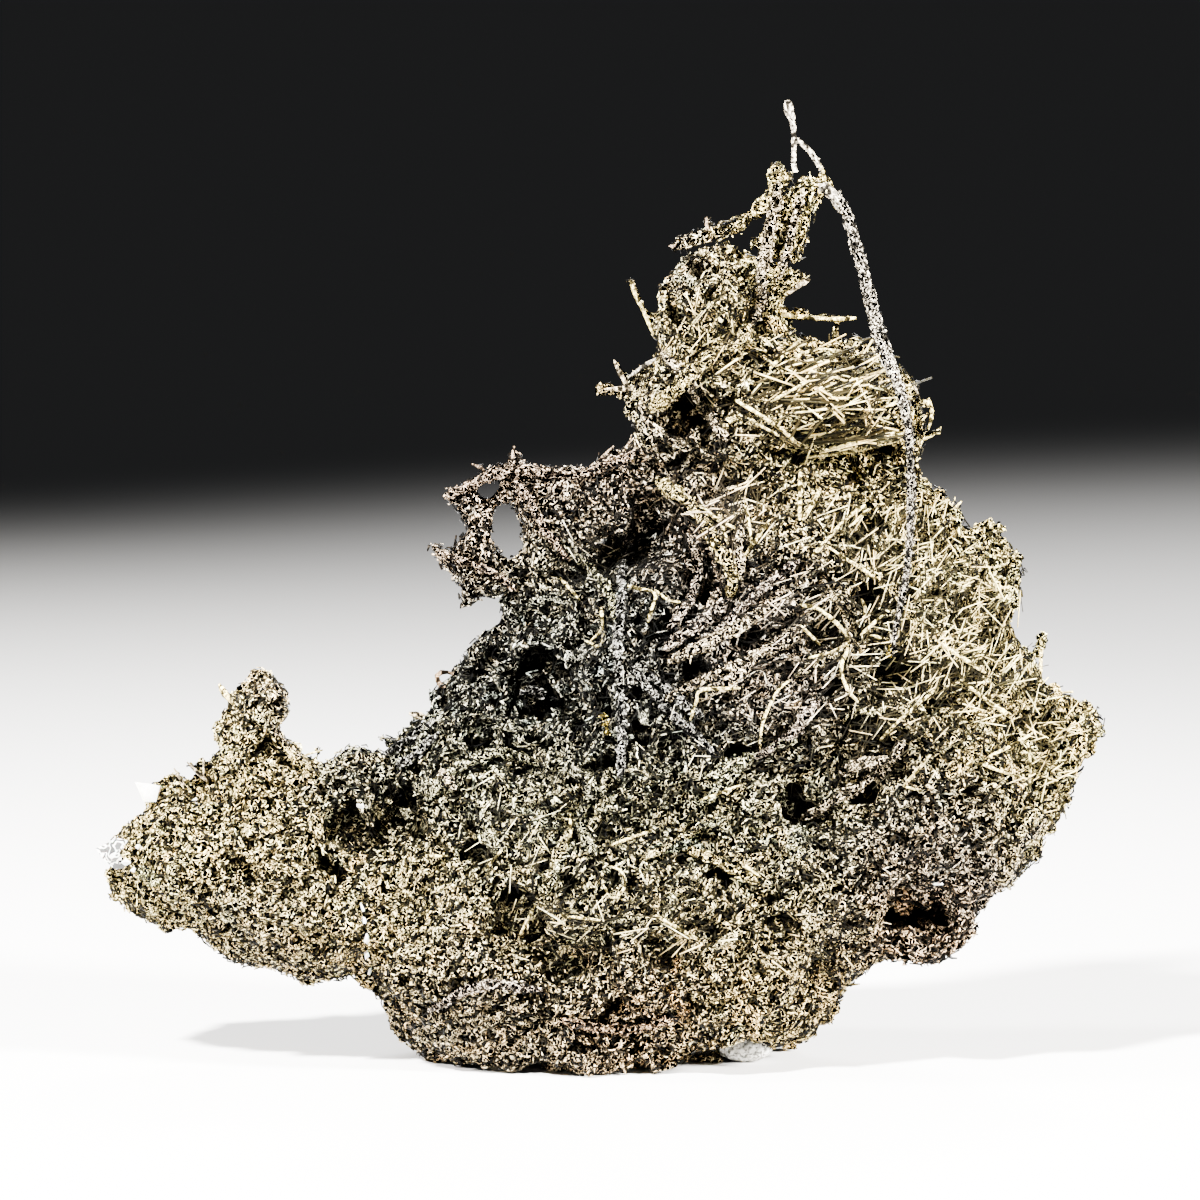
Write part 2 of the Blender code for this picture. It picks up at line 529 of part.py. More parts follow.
def cut_plane(body, point, normal):
    """Cut away what lies on the side of a plane that its normal points to."""
    shape = bmesh.new()
    shape.from_mesh(body.data)
    everything = shape.verts[:] + shape.edges[:] + shape.faces[:]
    found = bmesh.ops.bisect_plane(
        shape, geom=everything, dist=0.0000001, plane_co=Vector(point) * MM,
        plane_no=Vector(normal), clear_outer=True)
    rim = [edge for edge in found["geom_cut"] if isinstance(edge, bmesh.types.BMEdge)]
    bmesh.ops.holes_fill(shape, edges=rim, sides=0)
    bmesh.ops.triangulate(shape, faces=[f for f in shape.faces if len(f.verts) > 4])
    bmesh.ops.recalc_face_normals(shape, faces=shape.faces)
    shape.to_mesh(body.data)
    shape.free()


def cut_line(body, line, side):
    """Cut along a line drawn in X and Z; side +1 keeps what is on its left."""
    (x0, z0), (x1, z1) = line
    length = math.hypot(x1 - x0, z1 - z0)
    left = Vector((-(z1 - z0), 0.0, x1 - x0)) / length
    point = Vector((x0, 0.0, z0)) + left * side * KERF / 2
    cut_plane(body, point, -left * side)


def combine(body, tool_mesh, operation):
    """Join a closed mesh to a body, or take it away, and use the tool up."""
    tool = as_object("tool", tool_mesh, CUTTERS)
    tool.hide_render = True
    tool.display_type = "WIRE"
    step = body.modifiers.new("combine", "BOOLEAN")
    step.operation = operation
    step.solver = "EXACT"
    step.object = tool
    apply_modifiers(body)
    bpy.data.objects.remove(tool)
    bpy.data.meshes.remove(tool_mesh)


def tube(points, radii, sides):
    """Make a closed tube along points, with a radius at each."""
    curve = bpy.data.curves.new("tube", "CURVE")
    curve.dimensions = "3D"
    curve.bevel_depth = 1.0 * MM
    curve.bevel_resolution = max(0, (sides - 4) // 2)
    curve.use_fill_caps = True
    spline = curve.splines.new("POLY")
    spline.points.add(len(points) - 1)
    for point, place, radius in zip(spline.points, points, radii):
        point.co = (*(Vector(place) * MM), 1.0)
        point.radius = radius
    thing = as_object("tube", curve, CUTTERS)
    mesh = evaluated_mesh(thing)
    bpy.data.objects.remove(thing)
    weld(mesh)
    return mesh


def smooth_line(line, steps):
    """Read a smooth curve through points that also carry a radius."""
    points = np.array(line)
    padded = np.vstack((2 * points[0] - points[1], points, 2 * points[-1] - points[-2]))
    made = []
    for index in range(len(points) - 1):
        p0, p1, p2, p3 = padded[index:index + 4]
        for part in range(steps):
            t = part / steps
            made.append(0.5 * (2 * p1 + (p2 - p0) * t + (2 * p0 - 5 * p1 + 4 * p2 - p3) * t ** 2
                               + (3 * p1 - p0 - 3 * p2 + p3) * t ** 3))
    made.append(points[-1])
    return np.array(made)


def add_twigs(body, twigs):
    """Join tapered twigs to a body."""
    for root, tip, root_radius, tip_radius in twigs:
        bend = (Vector(root) + Vector(tip)) / 2 + Vector(TWIG_BEND)
        middle_radius = (root_radius + tip_radius) / 2
        combine(body, tube((root, bend, tip), (root_radius, middle_radius, tip_radius),
                           TWIG_SIDES), "UNION")


def add_ridges(body, ridges):
    """Join strands to the front face, half sunk in it."""
    for line, radius in ridges:
        shape = bmesh.new()
        shape.from_mesh(body.data)
        surface = BVHTree.FromBMesh(shape)
        shape.free()
        places = []
        for x, z in line:
            start = Vector((x, -CLEAR_OF_ALL, z)) * MM
            hit = surface.ray_cast(start, Vector((0.0, 1.0, 0.0)))[0]
            places.append((x, hit.y / MM - 0.25 * radius, z))
        radii = [radius] * len(line)
        radii[0] = radii[-1] = 0.6 * radius
        combine(body, tube(places, radii, RIDGE_SIDES), "UNION")


def finish(body, colour):
    """Give a piece its material."""
    body.data.materials.clear()
    body.data.materials.append(colour)


def mass_depth(z):
    """Half the depth of the main mass at a height: it narrows to the foot and to the top."""
    if z < MASS_WIDEST_Z:
        rise = max(z / MASS_WIDEST_Z, 0.0)
        return FOOT_HALF_DEPTH + (MASS_HALF_DEPTH - FOOT_HALF_DEPTH) * rise
    rise = min((z - MASS_WIDEST_Z) / (MASS_TOP_Z - MASS_WIDEST_Z), 1.0)
    return MASS_HALF_DEPTH + (MASS_TOP_HALF_DEPTH - MASS_HALF_DEPTH) * rise ** 1.2


def arch_bay():
    """The space above the main mass that the arch fills, a kerf larger all round."""
    (x0, z0), (x1, z1) = ARCH_CUT
    slope = (z1 - z0) / (x1 - x0)
    half = KERF / 2
    ring = ((ARCH_BAY_LEFT_X, z0 + (ARCH_BAY_LEFT_X - x0) * slope - half), (x1 + half, z1 - half),
            (x1 + half, ARCH_TOP_Z), (ARCH_BAY_LEFT_X, ARCH_TOP_Z))
    return outline_slab("arch_bay", (ring,), 0.0, CLEAR_OF_ALL)


def make_mass():
    """The main mass, with its foot, hollows, lying strands and edge twigs."""
    body = grown("main_mass", (MASS_OUTLINE, MASS_HOLE), MASS_MIDDLE_Y, mass_depth,
                 MASS_GROWTH, MASS_LUMPS, MASS_PITS, MASS_BACK_PITS)
    cut_plane(body, UNDERCUT_POINT, UNDERCUT_NORMAL)
    for x, y, z, *radii in UNDERSIDE_NOTCHES:
        combine(body, ball_mesh("notch", (x, y, z), radii), "DIFFERENCE")
    cut_plane(body, (0.0, 0.0, FOOT_Z), (0.0, 0.0, -1.0))
    cut_plane(body, (0.0, 0.0, TOWER_CUT_Z - KERF / 2), (0.0, 0.0, 1.0))
    cut_line(body, LOBE_CUT, -1)
    combine(body, arch_bay(), "DIFFERENCE")
    add_ridges(body, MASS_RIDGES)
    add_twigs(body, MASS_TWIGS)
    finish(body, SILVER)
    return body


def make_lobe():
    """The lobe that runs off to the left, with its knob."""
    body = grown("left_lobe", (LOBE_OUTLINE,), LOBE_MIDDLE_Y, lambda z: LOBE_HALF_DEPTH,
                 LOBE_GROWTH, LOBE_LUMPS, LOBE_PITS, LOBE_BACK_PITS)
    cut_line(body, LOBE_CUT, 1)
    add_twigs(body, LOBE_TWIGS)
    finish(body, SILVER)
    return body


def make_arch():
    """The lattice that arches off the upper left shoulder."""
    body = grown("left_arch", (ARCH_OUTLINE, *ARCH_HOLES), 0.0, lambda z: ARCH_HALF_DEPTH,
                 ARCH_GROWTH)
    cut_plane(body, (ARCH_RIGHT_X - KERF / 2, 0.0, 0.0), (1.0, 0.0, 0.0))
    cut_line(body, ARCH_CUT, 1)
    add_twigs(body, ARCH_TWIGS)
    finish(body, DARK_SILVER)
    return body


def make_tower():
    """The tower on top of the mass."""
    body = grown("tower", (TOWER_OUTLINE,), 0.0, lambda z: TOWER_HALF_DEPTH,
                 TOWER_GROWTH, TOWER_LUMPS, TOWER_PITS, TOWER_BACK_PITS)
    cut_plane(body, (0.0, 0.0, TOWER_CUT_Z + KERF / 2), (0.0, 0.0, -1.0))
    cut_line(body, CREST_CUT, -1)
    combine(body, arch_bay(), "DIFFERENCE")
    add_ridges(body, TOWER_RIDGES)
    add_twigs(body, TOWER_TWIGS)
    finish(body, SILVER)
    return body


def make_column():
    """The crest that rises from the tower to the fork."""
    body = grown("crest_column", (COLUMN_OUTLINE,), 0.0, lambda z: CREST_HALF_DEPTH,
                 COLUMN_GROWTH)
    cut_line(body, CREST_CUT, 1)
    cut_line(body, BRANCH_CUT, -1)
    finish(body, DARK_SILVER)
    return body


def make_branch():
    """The branch that leaves the crest to the left."""
    body = grown("crest_branch", (BRANCH_OUTLINE,), 0.0, lambda z: BRANCH_HALF_DEPTH,
                 BRANCH_GROWTH)
    cut_line(body, BRANCH_CUT, 1)
    add_twigs(body, BRANCH_TWIGS)
    finish(body, DARK_SILVER)
    return body


def make_strand():
    """The long strand that hangs in a curve from the crest, a lumpy rod."""
    line = smooth_line(STRAND_LINE, STRAND_STEPS)
    radii = [radius * (1.0 + 0.22 * noise.noise((x * 0.9, 2.0, z * 0.9)))
             for x, _, z, radius in line]
    body = as_object("long_strand", tube(line[:, :3], radii, STRAND_SIDES), PARTS)
    finish(body, SILVER)
    return body


def make_top_wire():
    """The thin wire at the very top, with its side wire and spur."""
    line = smooth_line(TOP_WIRE_LINE, 2)
    body = as_object("top_wire", tube(line[:, :3], line[:, 3], TWIG_SIDES), PARTS)
    side = smooth_line(SIDE_WIRE_LINE, 2)
    combine(body, tube(side[:, :3], side[:, 3], TWIG_SIDES), "UNION")
    add_twigs(body, (SIDE_SPUR,))
    finish(body, SILVER)
    return body


def chip_mesh(name, placing, clearance):
    """A cleavage fragment: a skewed block."""
    centre, half, turn = placing
    half = Vector(half) + Vector((clearance, clearance, clearance))
    shape = bmesh.new()
    bmesh.ops.create_cube(shape, size=2.0)
    for vert in shape.verts:
        vert.co.x += CLEAVAGE_SKEW * vert.co.z
    turn_matrix = Matrix.Rotation(math.radians(turn[2]), 4, "Z") @ Matrix.Rotation(
        math.radians(turn[1]), 4, "Y") @ Matrix.Rotation(math.radians(turn[0]), 4, "X")
    place = Matrix.Translation(Vector(centre) * MM) @ turn_matrix @ Matrix.Diagonal(
        (*(Vector(half) * MM), 1.0))
    shape.transform(place)
    mesh = bpy.data.meshes.new(name)
    shape.to_mesh(mesh)
    shape.free()
    return mesh


def make_chip(name, placing, holder):
    """Set a chip in a pocket of the piece that holds it."""
    combine(holder, chip_mesh("pocket", placing, POCKET_ROOM), "DIFFERENCE")
    body = as_object(name, chip_mesh(name, placing, 0.0), PARTS)
    finish(body, CALCITE)
    return body


def make_pebble(holder):
    """The pebble caught under the right of the mass, flat where it rests."""
    combine(holder, ball_mesh("pocket", *PEBBLE, POCKET_ROOM + PEBBLE_ROUGHNESS), "DIFFERENCE")
    body = as_object("base_pebble", ball_mesh("base_pebble", *PEBBLE), PARTS)
    roughen(body, 1.8, PEBBLE_ROUGHNESS, 11)
    cut_plane(body, (0.0, 0.0, FOOT_Z), (0.0, 0.0, -1.0))
    finish(body, STONE)
    return body


mass = make_mass()
lobe = make_lobe()
make_arch()
make_tower()
make_column()
make_branch()
make_strand()
make_top_wire()
make_chip("calcite_chip", CHIP, lobe)
make_chip("calcite_rim", RIM, lobe)
make_pebble(mass)
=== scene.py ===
"""The looks of the native silver specimen: the mat of wires, grains and needles on its form.

Each faceted silver solid of the frame is replaced by an uneven crust of the same form, which
is thatched with short lumpy wires, straight needles, ropes of grains and single bright wires.
The stones have meshes of their own. All lengths below are millimetres unless a comment says
otherwise; places on the photographed side are pixels of the 1200 by 1200 photograph.
"""

import math
from collections import namedtuple

import bmesh
import bpy
import numpy as np
from mathutils import Matrix, Vector, noise
from mathutils.bvhtree import BVHTree


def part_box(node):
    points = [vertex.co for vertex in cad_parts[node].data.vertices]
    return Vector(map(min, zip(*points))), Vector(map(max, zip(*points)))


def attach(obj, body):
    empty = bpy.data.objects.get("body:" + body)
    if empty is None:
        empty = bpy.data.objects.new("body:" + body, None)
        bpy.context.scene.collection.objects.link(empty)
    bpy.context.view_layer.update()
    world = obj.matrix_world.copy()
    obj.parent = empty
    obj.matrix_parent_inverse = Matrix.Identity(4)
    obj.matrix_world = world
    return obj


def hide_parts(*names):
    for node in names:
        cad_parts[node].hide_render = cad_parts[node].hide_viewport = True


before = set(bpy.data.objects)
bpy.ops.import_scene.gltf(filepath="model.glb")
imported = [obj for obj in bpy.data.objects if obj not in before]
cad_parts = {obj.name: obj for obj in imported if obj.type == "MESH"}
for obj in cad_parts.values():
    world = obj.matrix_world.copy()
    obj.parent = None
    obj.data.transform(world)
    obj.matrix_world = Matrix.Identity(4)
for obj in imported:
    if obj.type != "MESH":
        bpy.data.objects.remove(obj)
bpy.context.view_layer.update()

MM = 0.001

# The camera stands where the photograph was taken from
CAMERA_ELEVATION = math.radians(5.0)
CAMERA_DISTANCE = 1000.0
CAMERA_AIM = np.array((0.0, 0.0, 46.2))
PIXEL = 0.1
MIDDLE_PIXEL = 600.0

# Tarnish colours
CREAM = (1.25, 1.00, 0.37)
STRAW = (0.98, 0.77, 0.30)
TAUPE = (0.74, 0.59, 0.36)
SLATE = (0.20, 0.20, 0.175)
SAGE = (0.50, 0.47, 0.27)
OLIVE = (0.52, 0.43, 0.20)
GOLD = (0.72, 0.54, 0.22)
ROSE = (0.50, 0.36, 0.24)
MAUVE = (0.50, 0.40, 0.30)
BRONZE = (0.48, 0.37, 0.21)
RUST = (0.46, 0.30, 0.17)
PEARL = (0.60, 0.53, 0.41)
ASH = (0.26, 0.25, 0.22)
YELLOW = (0.85, 0.60, 0.10)
TOP_WIRE = (0.88, 0.77, 0.60)

# Where each tarnish shows: pixel, spread in pixels and strength
ZONES = (
    ((1000, 560), 70, 1.0, CREAM), ((1085, 730), 60, 1.2, CREAM), ((1030, 660), 60, 1.0, CREAM),
    ((950, 760), 70, 0.9, OLIVE), ((900, 640), 70, 0.9, OLIVE), ((850, 390), 60, 1.0, STRAW),
    ((800, 480), 60, 0.8, STRAW), ((700, 320), 60, 1.0, STRAW), ((690, 430), 45, 0.9, TAUPE),
    ((790, 230), 50, 1.5, CREAM), ((500, 490), 60, 1.2, ROSE), ((600, 480), 45, 1.0, ROSE),
    ((700, 530), 30, 0.9, ROSE), ((650, 590), 60, 1.2, SLATE), ((620, 700), 50, 1.0, SLATE),
    ((520, 680), 60, 0.8, SLATE), ((560, 560), 50, 0.8, SAGE), ((470, 780), 70, 1.0, SAGE),
    ((620, 810), 70, 0.9, SAGE), ((760, 600), 60, 0.8, MAUVE), ((780, 660), 50, 0.8, MAUVE),
    ((560, 880), 60, 0.9, OLIVE), ((680, 900), 60, 0.9, OLIVE), ((800, 850), 60, 0.7, SAGE),
    ((930, 840), 50, 1.0, MAUVE), ((910, 925), 40, 1.4, RUST), ((760, 980), 70, 1.0, GOLD),
    ((650, 1010), 40, 0.9, RUST), ((450, 1010), 60, 1.1, BRONZE), ((400, 900), 60, 0.8, STRAW),
    ((300, 900), 60, 0.9, STRAW), ((180, 870), 70, 0.9, STRAW), ((230, 730), 45, 0.8, STRAW),
    ((275, 700), 25, 1.0, TAUPE), ((260, 950), 50, 1.0, TAUPE), ((370, 810), 40, 1.0, SLATE),
    ((680, 250), 35, 1.2, MAUVE), ((815, 688), 20, 1.2, MAUVE), ((470, 700), 45, 0.8, SLATE),
)

# Hollows of the photographed side, sunk into the crust and darkened there with painted shade: pixel, half
# width, half height, turn in degrees, depth
HOLLOWS = (
    ((535, 666), 26, 16, 10, 3.0), ((554, 706), 17, 26, 15, 3.5), ((514, 698), 12, 19, -20, 2.5),
    ((575, 652), 7, 13, 0, 1.5), ((537, 742), 7, 11, 10, 1.5), ((440, 702), 9, 7, 30, 1.5),
    ((478, 668), 7, 11, -20, 1.5), ((464, 724), 12, 7, 20, 1.5), ((596, 698), 7, 20, 0, 1.5),
    ((402, 822), 14, 16, 0, 1.6), ((640, 728), 9, 14, -20, 1.8), ((452, 752), 9, 6, 0, 1.2),
    ((695, 408), 15, 22, 0, 2.0), ((507, 743), 10, 12, 0, 2.0),
    ((494, 730), 7, 16, 0, 1.5), ((603, 762), 22, 9, 5, 1.5), ((638, 743), 12, 8, 0, 1.5),
    ((668, 463), 20, 8, 0, 2.0), ((795, 455), 34, 8, 0, 1.5), ((517, 902), 13, 12, 0, 2.5),
    ((500, 925), 20, 5, -10, 2.0), ((540, 942), 20, 17, 0, 2.0), ((720, 699), 22, 7, 0, 2.0),
    ((557, 668), 12, 12, 0, 1.5), ((705, 588), 15, 12, 0, 2.5), ((744, 754), 12, 8, 0, 2.0),
    ((792, 805), 13, 15, 0, 2.5), ((863, 793), 17, 12, 0, 2.0), ((920, 917), 40, 11, -4, 3.0),
    ((726, 878), 8, 8, 0, 1.5), ((770, 910), 10, 19, 0, 2.0), ((650, 938), 10, 12, 0, 1.5),
    ((612, 1010), 12, 10, 0, 1.5), ((247, 862), 9, 10, 0, 1.2), ((286, 880), 6, 7, 0, 1.0),
    ((230, 925), 6, 10, 0, 1.0), ((270, 750), 6, 12, 0, 1.0), ((352, 812), 8, 16, 0, 1.0),
    ((331, 862), 8, 30, 50, 2.0), ((391, 814), 12, 18, 0, 1.6), ((407, 792), 11, 12, 0, 1.5),
    ((341, 870), 11, 6, 0, 1.5), ((874, 590), 11, 26, 8, 2.5), ((876, 522), 22, 9, 0, 2.0),
    ((640, 620), 8, 14, 0, 2.0), ((470, 850), 16, 10, 30, 1.5), ((654, 792), 10, 7, 0, 1.2),
    ((567, 879), 11, 11, 0, 1.5), ((687, 854), 14, 8, 0, 1.5), ((717, 873), 15, 8, 0, 1.5),
    ((624, 879), 14, 8, 0, 1.5), ((603, 827), 8, 10, 0, 1.2), ((892, 673), 11, 9, 0, 1.5),
    ((930, 654), 6, 6, 0, 1.2), ((1011, 728), 12, 8, 0, 1.5), ((972, 786), 9, 6, 0, 1.2),
    ((988, 625), 6, 5, 0, 1.0), ((882, 490), 5, 5, 0, 1.0), ((690, 830), 12, 18, 20, 1.5),
    ((860, 720), 16, 10, 0, 1.5), ((590, 1050), 20, 8, 0, 1.0), ((660, 625), 8, 8, 0, 1.5),
    ((712, 294), 10, 8, 20, 1.8), ((696, 266), 9, 7, 0, 1.5), ((676, 312), 9, 11, 0, 1.5),
    ((766, 354), 16, 7, 0, 1.5), ((728, 402), 10, 13, 0, 1.8), ((702, 446), 11, 12, 0, 1.8),
    ((812, 440), 17, 8, 0, 1.8), ((645, 519), 14, 17, 0, 4.0), ((862, 457), 40, 8, 4, 4.0),
    ((690, 668), 9, 6, 20, 1.5), ((640, 690), 6, 16, 0, 1.5), ((750, 640), 12, 6, 30, 1.2),
)

# Ropes of matted grains: width in pixels, tarnish, and the pixels that they pass
ROPES = (
    (9, ASH, ((623, 562), (622, 600), (618, 650), (621, 700), (622, 740), (621, 778))),
    (13, STRAW, ((655, 480), (690, 505), (707, 528), (722, 553), (733, 577), (730, 598))),
    (13, MAUVE, ((730, 598), (712, 616), (690, 630), (664, 650))),
    (12, TAUPE, ((783, 599), (745, 622), (706, 645), (668, 662))),
    (12, TAUPE, ((798, 637), (760, 655), (706, 680), (663, 702))),
    (10, ASH, ((706, 721), (680, 700), (650, 675))),
    (11, SAGE, ((798, 736), (760, 752), (706, 777))),
    (9, MAUVE, ((800, 560), (760, 590), (725, 625), (690, 655))),
    (10, TAUPE, ((840, 590), (800, 625), (750, 665), (700, 700))),
    (15, STRAW, ((650, 410), (672, 392), (690, 375), (712, 358), (735, 343), (752, 326))),
    (11, TAUPE, ((748, 330), (760, 305), (762, 275), (768, 240), (775, 205), (778, 182))),
    (8, TAUPE, ((778, 280), (788, 248), (796, 212), (805, 190))),
    (7, YELLOW, ((603, 715), (606, 724), (609, 734))), (7, YELLOW, ((893, 640), (890, 650), (887, 658))),
    (12, ASH, ((520, 695), (532, 689), (546, 696))), (11, TAUPE, ((441, 771), (448, 780), (455, 790))),
    (8, SAGE, ((575, 840), (560, 868), (545, 895))),
    (9, ROSE, ((446, 497), (480, 481), (515, 470), (560, 476), (600, 470), (640, 452))),
    (8, SAGE, ((560, 545), (585, 565), (608, 590), (615, 620))),
    (8, ROSE, ((510, 470), (530, 500), (545, 530), (570, 560))),
    (7, ROSE, ((436, 552), (460, 560), (490, 572), (515, 590))),
    (9, TAUPE, ((800, 820), (835, 800), (880, 772), (905, 740))),
    (8, OLIVE, ((640, 860), (680, 840), (720, 812), (745, 785))),
    (9, SAGE, ((430, 800), (455, 770), (500, 752), (540, 765))),
    (8, STRAW, ((860, 470), (880, 500), (905, 540), (930, 590))),
    (9, OLIVE, ((700, 960), (740, 930), (790, 900), (840, 880))),
    (10, ASH, ((632, 667), (655, 695), (687, 727), (712, 752))),
    (10, SAGE, ((760, 748), (728, 780), (700, 808))), (10, SAGE, ((570, 770), (588, 780), (605, 792))),
    (11, SAGE, ((592, 792), (583, 812), (583, 830), (594, 854))),
    (10, OLIVE, ((570, 827), (558, 860), (543, 898))), (9, STRAW, ((679, 846), (720, 862), (760, 884))),
    (9, ASH, ((380, 757), (405, 742), (432, 721))), (8, ASH, ((395, 768), (418, 752), (440, 732))),
    (12, TAUPE, ((838, 770), (865, 764), (892, 757))), (10, TAUPE, ((745, 500), (738, 540), (742, 580))),
    (9, MAUVE, ((690, 540), (700, 570), (690, 600), (668, 630))),
    (10, TAUPE, ((660, 350), (700, 400), (725, 440))),
    (9, TAUPE, ((640, 400), (655, 430), (690, 450))), (9, STRAW, ((860, 560), (900, 600), (935, 655))),
    (10, MAUVE, ((820, 700), (790, 735), (745, 765))), (8, TAUPE, ((268, 720), (285, 745), (310, 765))),
    (8, STRAW, ((272, 735), (295, 760), (318, 778))), (9, MAUVE, ((430, 1010), (480, 985), (540, 990))),
    (9, RUST, ((560, 1020), (620, 1030), (680, 1015))), (10, GOLD, ((690, 1000), (740, 990), (800, 960))),
)

# Openings of the photograph, which loose wires keep off: pixel, half width, half height
OPENINGS = (
    ((645, 519), 16, 19), ((862, 457), 38, 8), ((490, 490), 17, 9), ((506, 511), 9, 9),
    ((510, 541), 15, 15), ((523, 588), 6, 9), ((757, 228), 12, 9), ((741, 252), 7, 8),
)

# Swellings that close the groove where two limbs of the growth meet: width, how far to each
# side the limbs are looked for, and the path; all in pixels
BRIDGES = (
    (30, 20, ((383, 838), (384, 870), (384, 900), (383, 925), (379, 950))),
    (16, 13, ((368, 850), (364, 825), (366, 800), (368, 785))),
)

# Short twigs that stand off the outline: width, tarnish, head width and the path, in pixels
TWIGS = (
    (5, ASH, 4, ((426, 745), (400, 741), (378, 737))), (5, TAUPE, 7, ((438, 722), (420, 716), (409, 713))),
    (5, RUST, 4, ((452, 690), (441, 686), (437, 675), (446, 672), (458, 676))),
    (4, CREAM, 4, ((1036, 708), (1040, 680), (1041, 637))),
    (4, CREAM, 5, ((1022, 662), (1030, 657), (1040, 657))),
    (4, CREAM, 3, ((948, 516), (955, 508), (962, 501))), (4, GOLD, 3, ((828, 982), (845, 985), (860, 984))),
    (4, STRAW, 7, ((237, 708), (227, 697), (219, 684))),
    (6, TAUPE, 4, ((208, 782), (197, 772), (187, 762))),
    (5, TAUPE, 3, ((203, 778), (204, 768), (203, 758))),
    (5, TAUPE, 3, ((186, 790), (180, 779), (174, 768))),
    (4, STRAW, 3, ((300, 757), (312, 753), (323, 750))), (5, ROSE, 4, ((488, 474), (480, 467), (472, 464))),
    (6, ROSE, 4, ((512, 462), (513, 454), (514, 446))), (6, ROSE, 4, ((595, 468), (604, 456), (614, 446))),
    (4, CREAM, 4, ((655, 338), (645, 314), (636, 296), (630, 280))),
    (6, TAUPE, 4, ((642, 388), (620, 389), (601, 389))),
    (5, TAUPE, 4, ((634, 395), (624, 380), (614, 360))),
    (5, PEARL, 4, ((658, 358), (645, 366), (628, 378))),
    (5, CREAM, 5, ((770, 313), (800, 317), (830, 319), (856, 318))),
    (6, TAUPE, 6, ((782, 298), (788, 289), (795, 280))),
    (6, TAUPE, 7, ((784, 296), (797, 286), (810, 279))),
    (4, CREAM, 3, ((832, 342), (834, 334), (834, 326))),
    (4, TAUPE, 3, ((908, 380), (916, 390), (920, 402))),
    (4, CREAM, 4, ((914, 442), (930, 436), (941, 427))),
    (4, CREAM, 4, ((928, 430), (932, 414), (929, 398))), (5, ROSE, 4, ((711, 242), (708, 230), (706, 217))),
    (5, ROSE, 4, ((690, 244), (680, 246), (669, 246))), (4, CREAM, 4, ((820, 164), (824, 174), (825, 186))),
    (12, PEARL, 12, ((806, 187), (816, 186), (827, 190), (836, 199), (841, 212))),
)

# Single smooth wires that catch the light: width in pixels and the pixels that they pass
WIRES = (
    (3.6, ((628, 586), (640, 589), (655, 594), (652, 608), (648, 622))),
    (3.4, ((690, 720), (696, 702), (702, 690), (740, 688))),
    (3.2, ((790, 680), (778, 690), (770, 705), (762, 725), (760, 750))),
    (4.4, ((800, 605), (820, 610), (848, 638), (841, 668), (848, 690), (858, 702))),
    (3.4, ((800, 625), (820, 645))), (3.6, ((808, 658), (832, 652), (850, 642))),
    (3.8, ((860, 635), (883, 615))), (3.4, ((870, 635), (890, 640))),
    (4.0, ((865, 505), (845, 520), (825, 542), (812, 556))), (3.4, ((825, 545), (870, 575))),
    (5.0, ((800, 470), (800, 520))), (4.6, ((820, 490), (803, 520))),
    (3.4, ((750, 420), (800, 448))), (4.2, ((800, 453), (850, 444), (905, 433))),
    (3.8, ((802, 458), (850, 452), (900, 440))), (4.4, ((935, 640), (985, 673))),
    (3.4, ((560, 915), (600, 920))), (3.0, ((520, 935), (535, 905))),
    (3.4, ((655, 915), (700, 940))), (3.2, ((740, 862), (762, 878))),
    (3.2, ((700, 800), (740, 785))), (3.4, ((425, 855), (448, 856))),
    (3.4, ((485, 870), (502, 850))), (3.4, ((903, 786), (930, 755))),
    (3.2, ((903, 786), (922, 791))), (3.4, ((590, 642), (602, 628), (601, 608))),
    (3.0, ((586, 641), (600, 646), (604, 634))), (3.6, ((960, 680), (1010, 718))),
    (3.4, ((880, 740), (905, 715), (935, 690))), (3.6, ((985, 560), (1000, 600))),
    (3.2, ((610, 866), (622, 872), (624, 888), (612, 898), (603, 884))),
    (3.4, ((655, 590), (668, 600), (680, 602))), (3.4, ((560, 578), (580, 600))),
    (4.4, ((972, 689), (990, 703), (1011, 715))), (3.8, ((988, 757), (1010, 746), (1032, 733))),
    (3.4, ((979, 763), (1003, 772), (1027, 779))), (3.6, ((1027, 741), (1030, 762), (1029, 786))),
    (3.6, ((861, 599), (865, 609), (863, 619))), (4.6, ((850, 561), (862, 569), (874, 577))),
    (4.4, ((852, 525), (860, 517), (869, 509))), (3.8, ((937, 522), (943, 541))),
    (3.4, ((608, 846), (630, 838), (652, 830))), (3.2, ((570, 812), (571, 838))),
    (4.6, ((700, 505), (718, 520), (735, 528))), (4.0, ((718, 512), (728, 545))),
    (3.6, ((745, 500), (752, 545))), (4.4, ((770, 520), (745, 555))), (3.6, ((770, 402), (815, 378))),
    (4.4, ((735, 400), (775, 425), (800, 446))), (4.0, ((790, 360), (815, 350), (845, 352))),
    (4.0, ((820, 395), (850, 385), (880, 388))), (3.6, ((770, 368), (800, 340))),
)

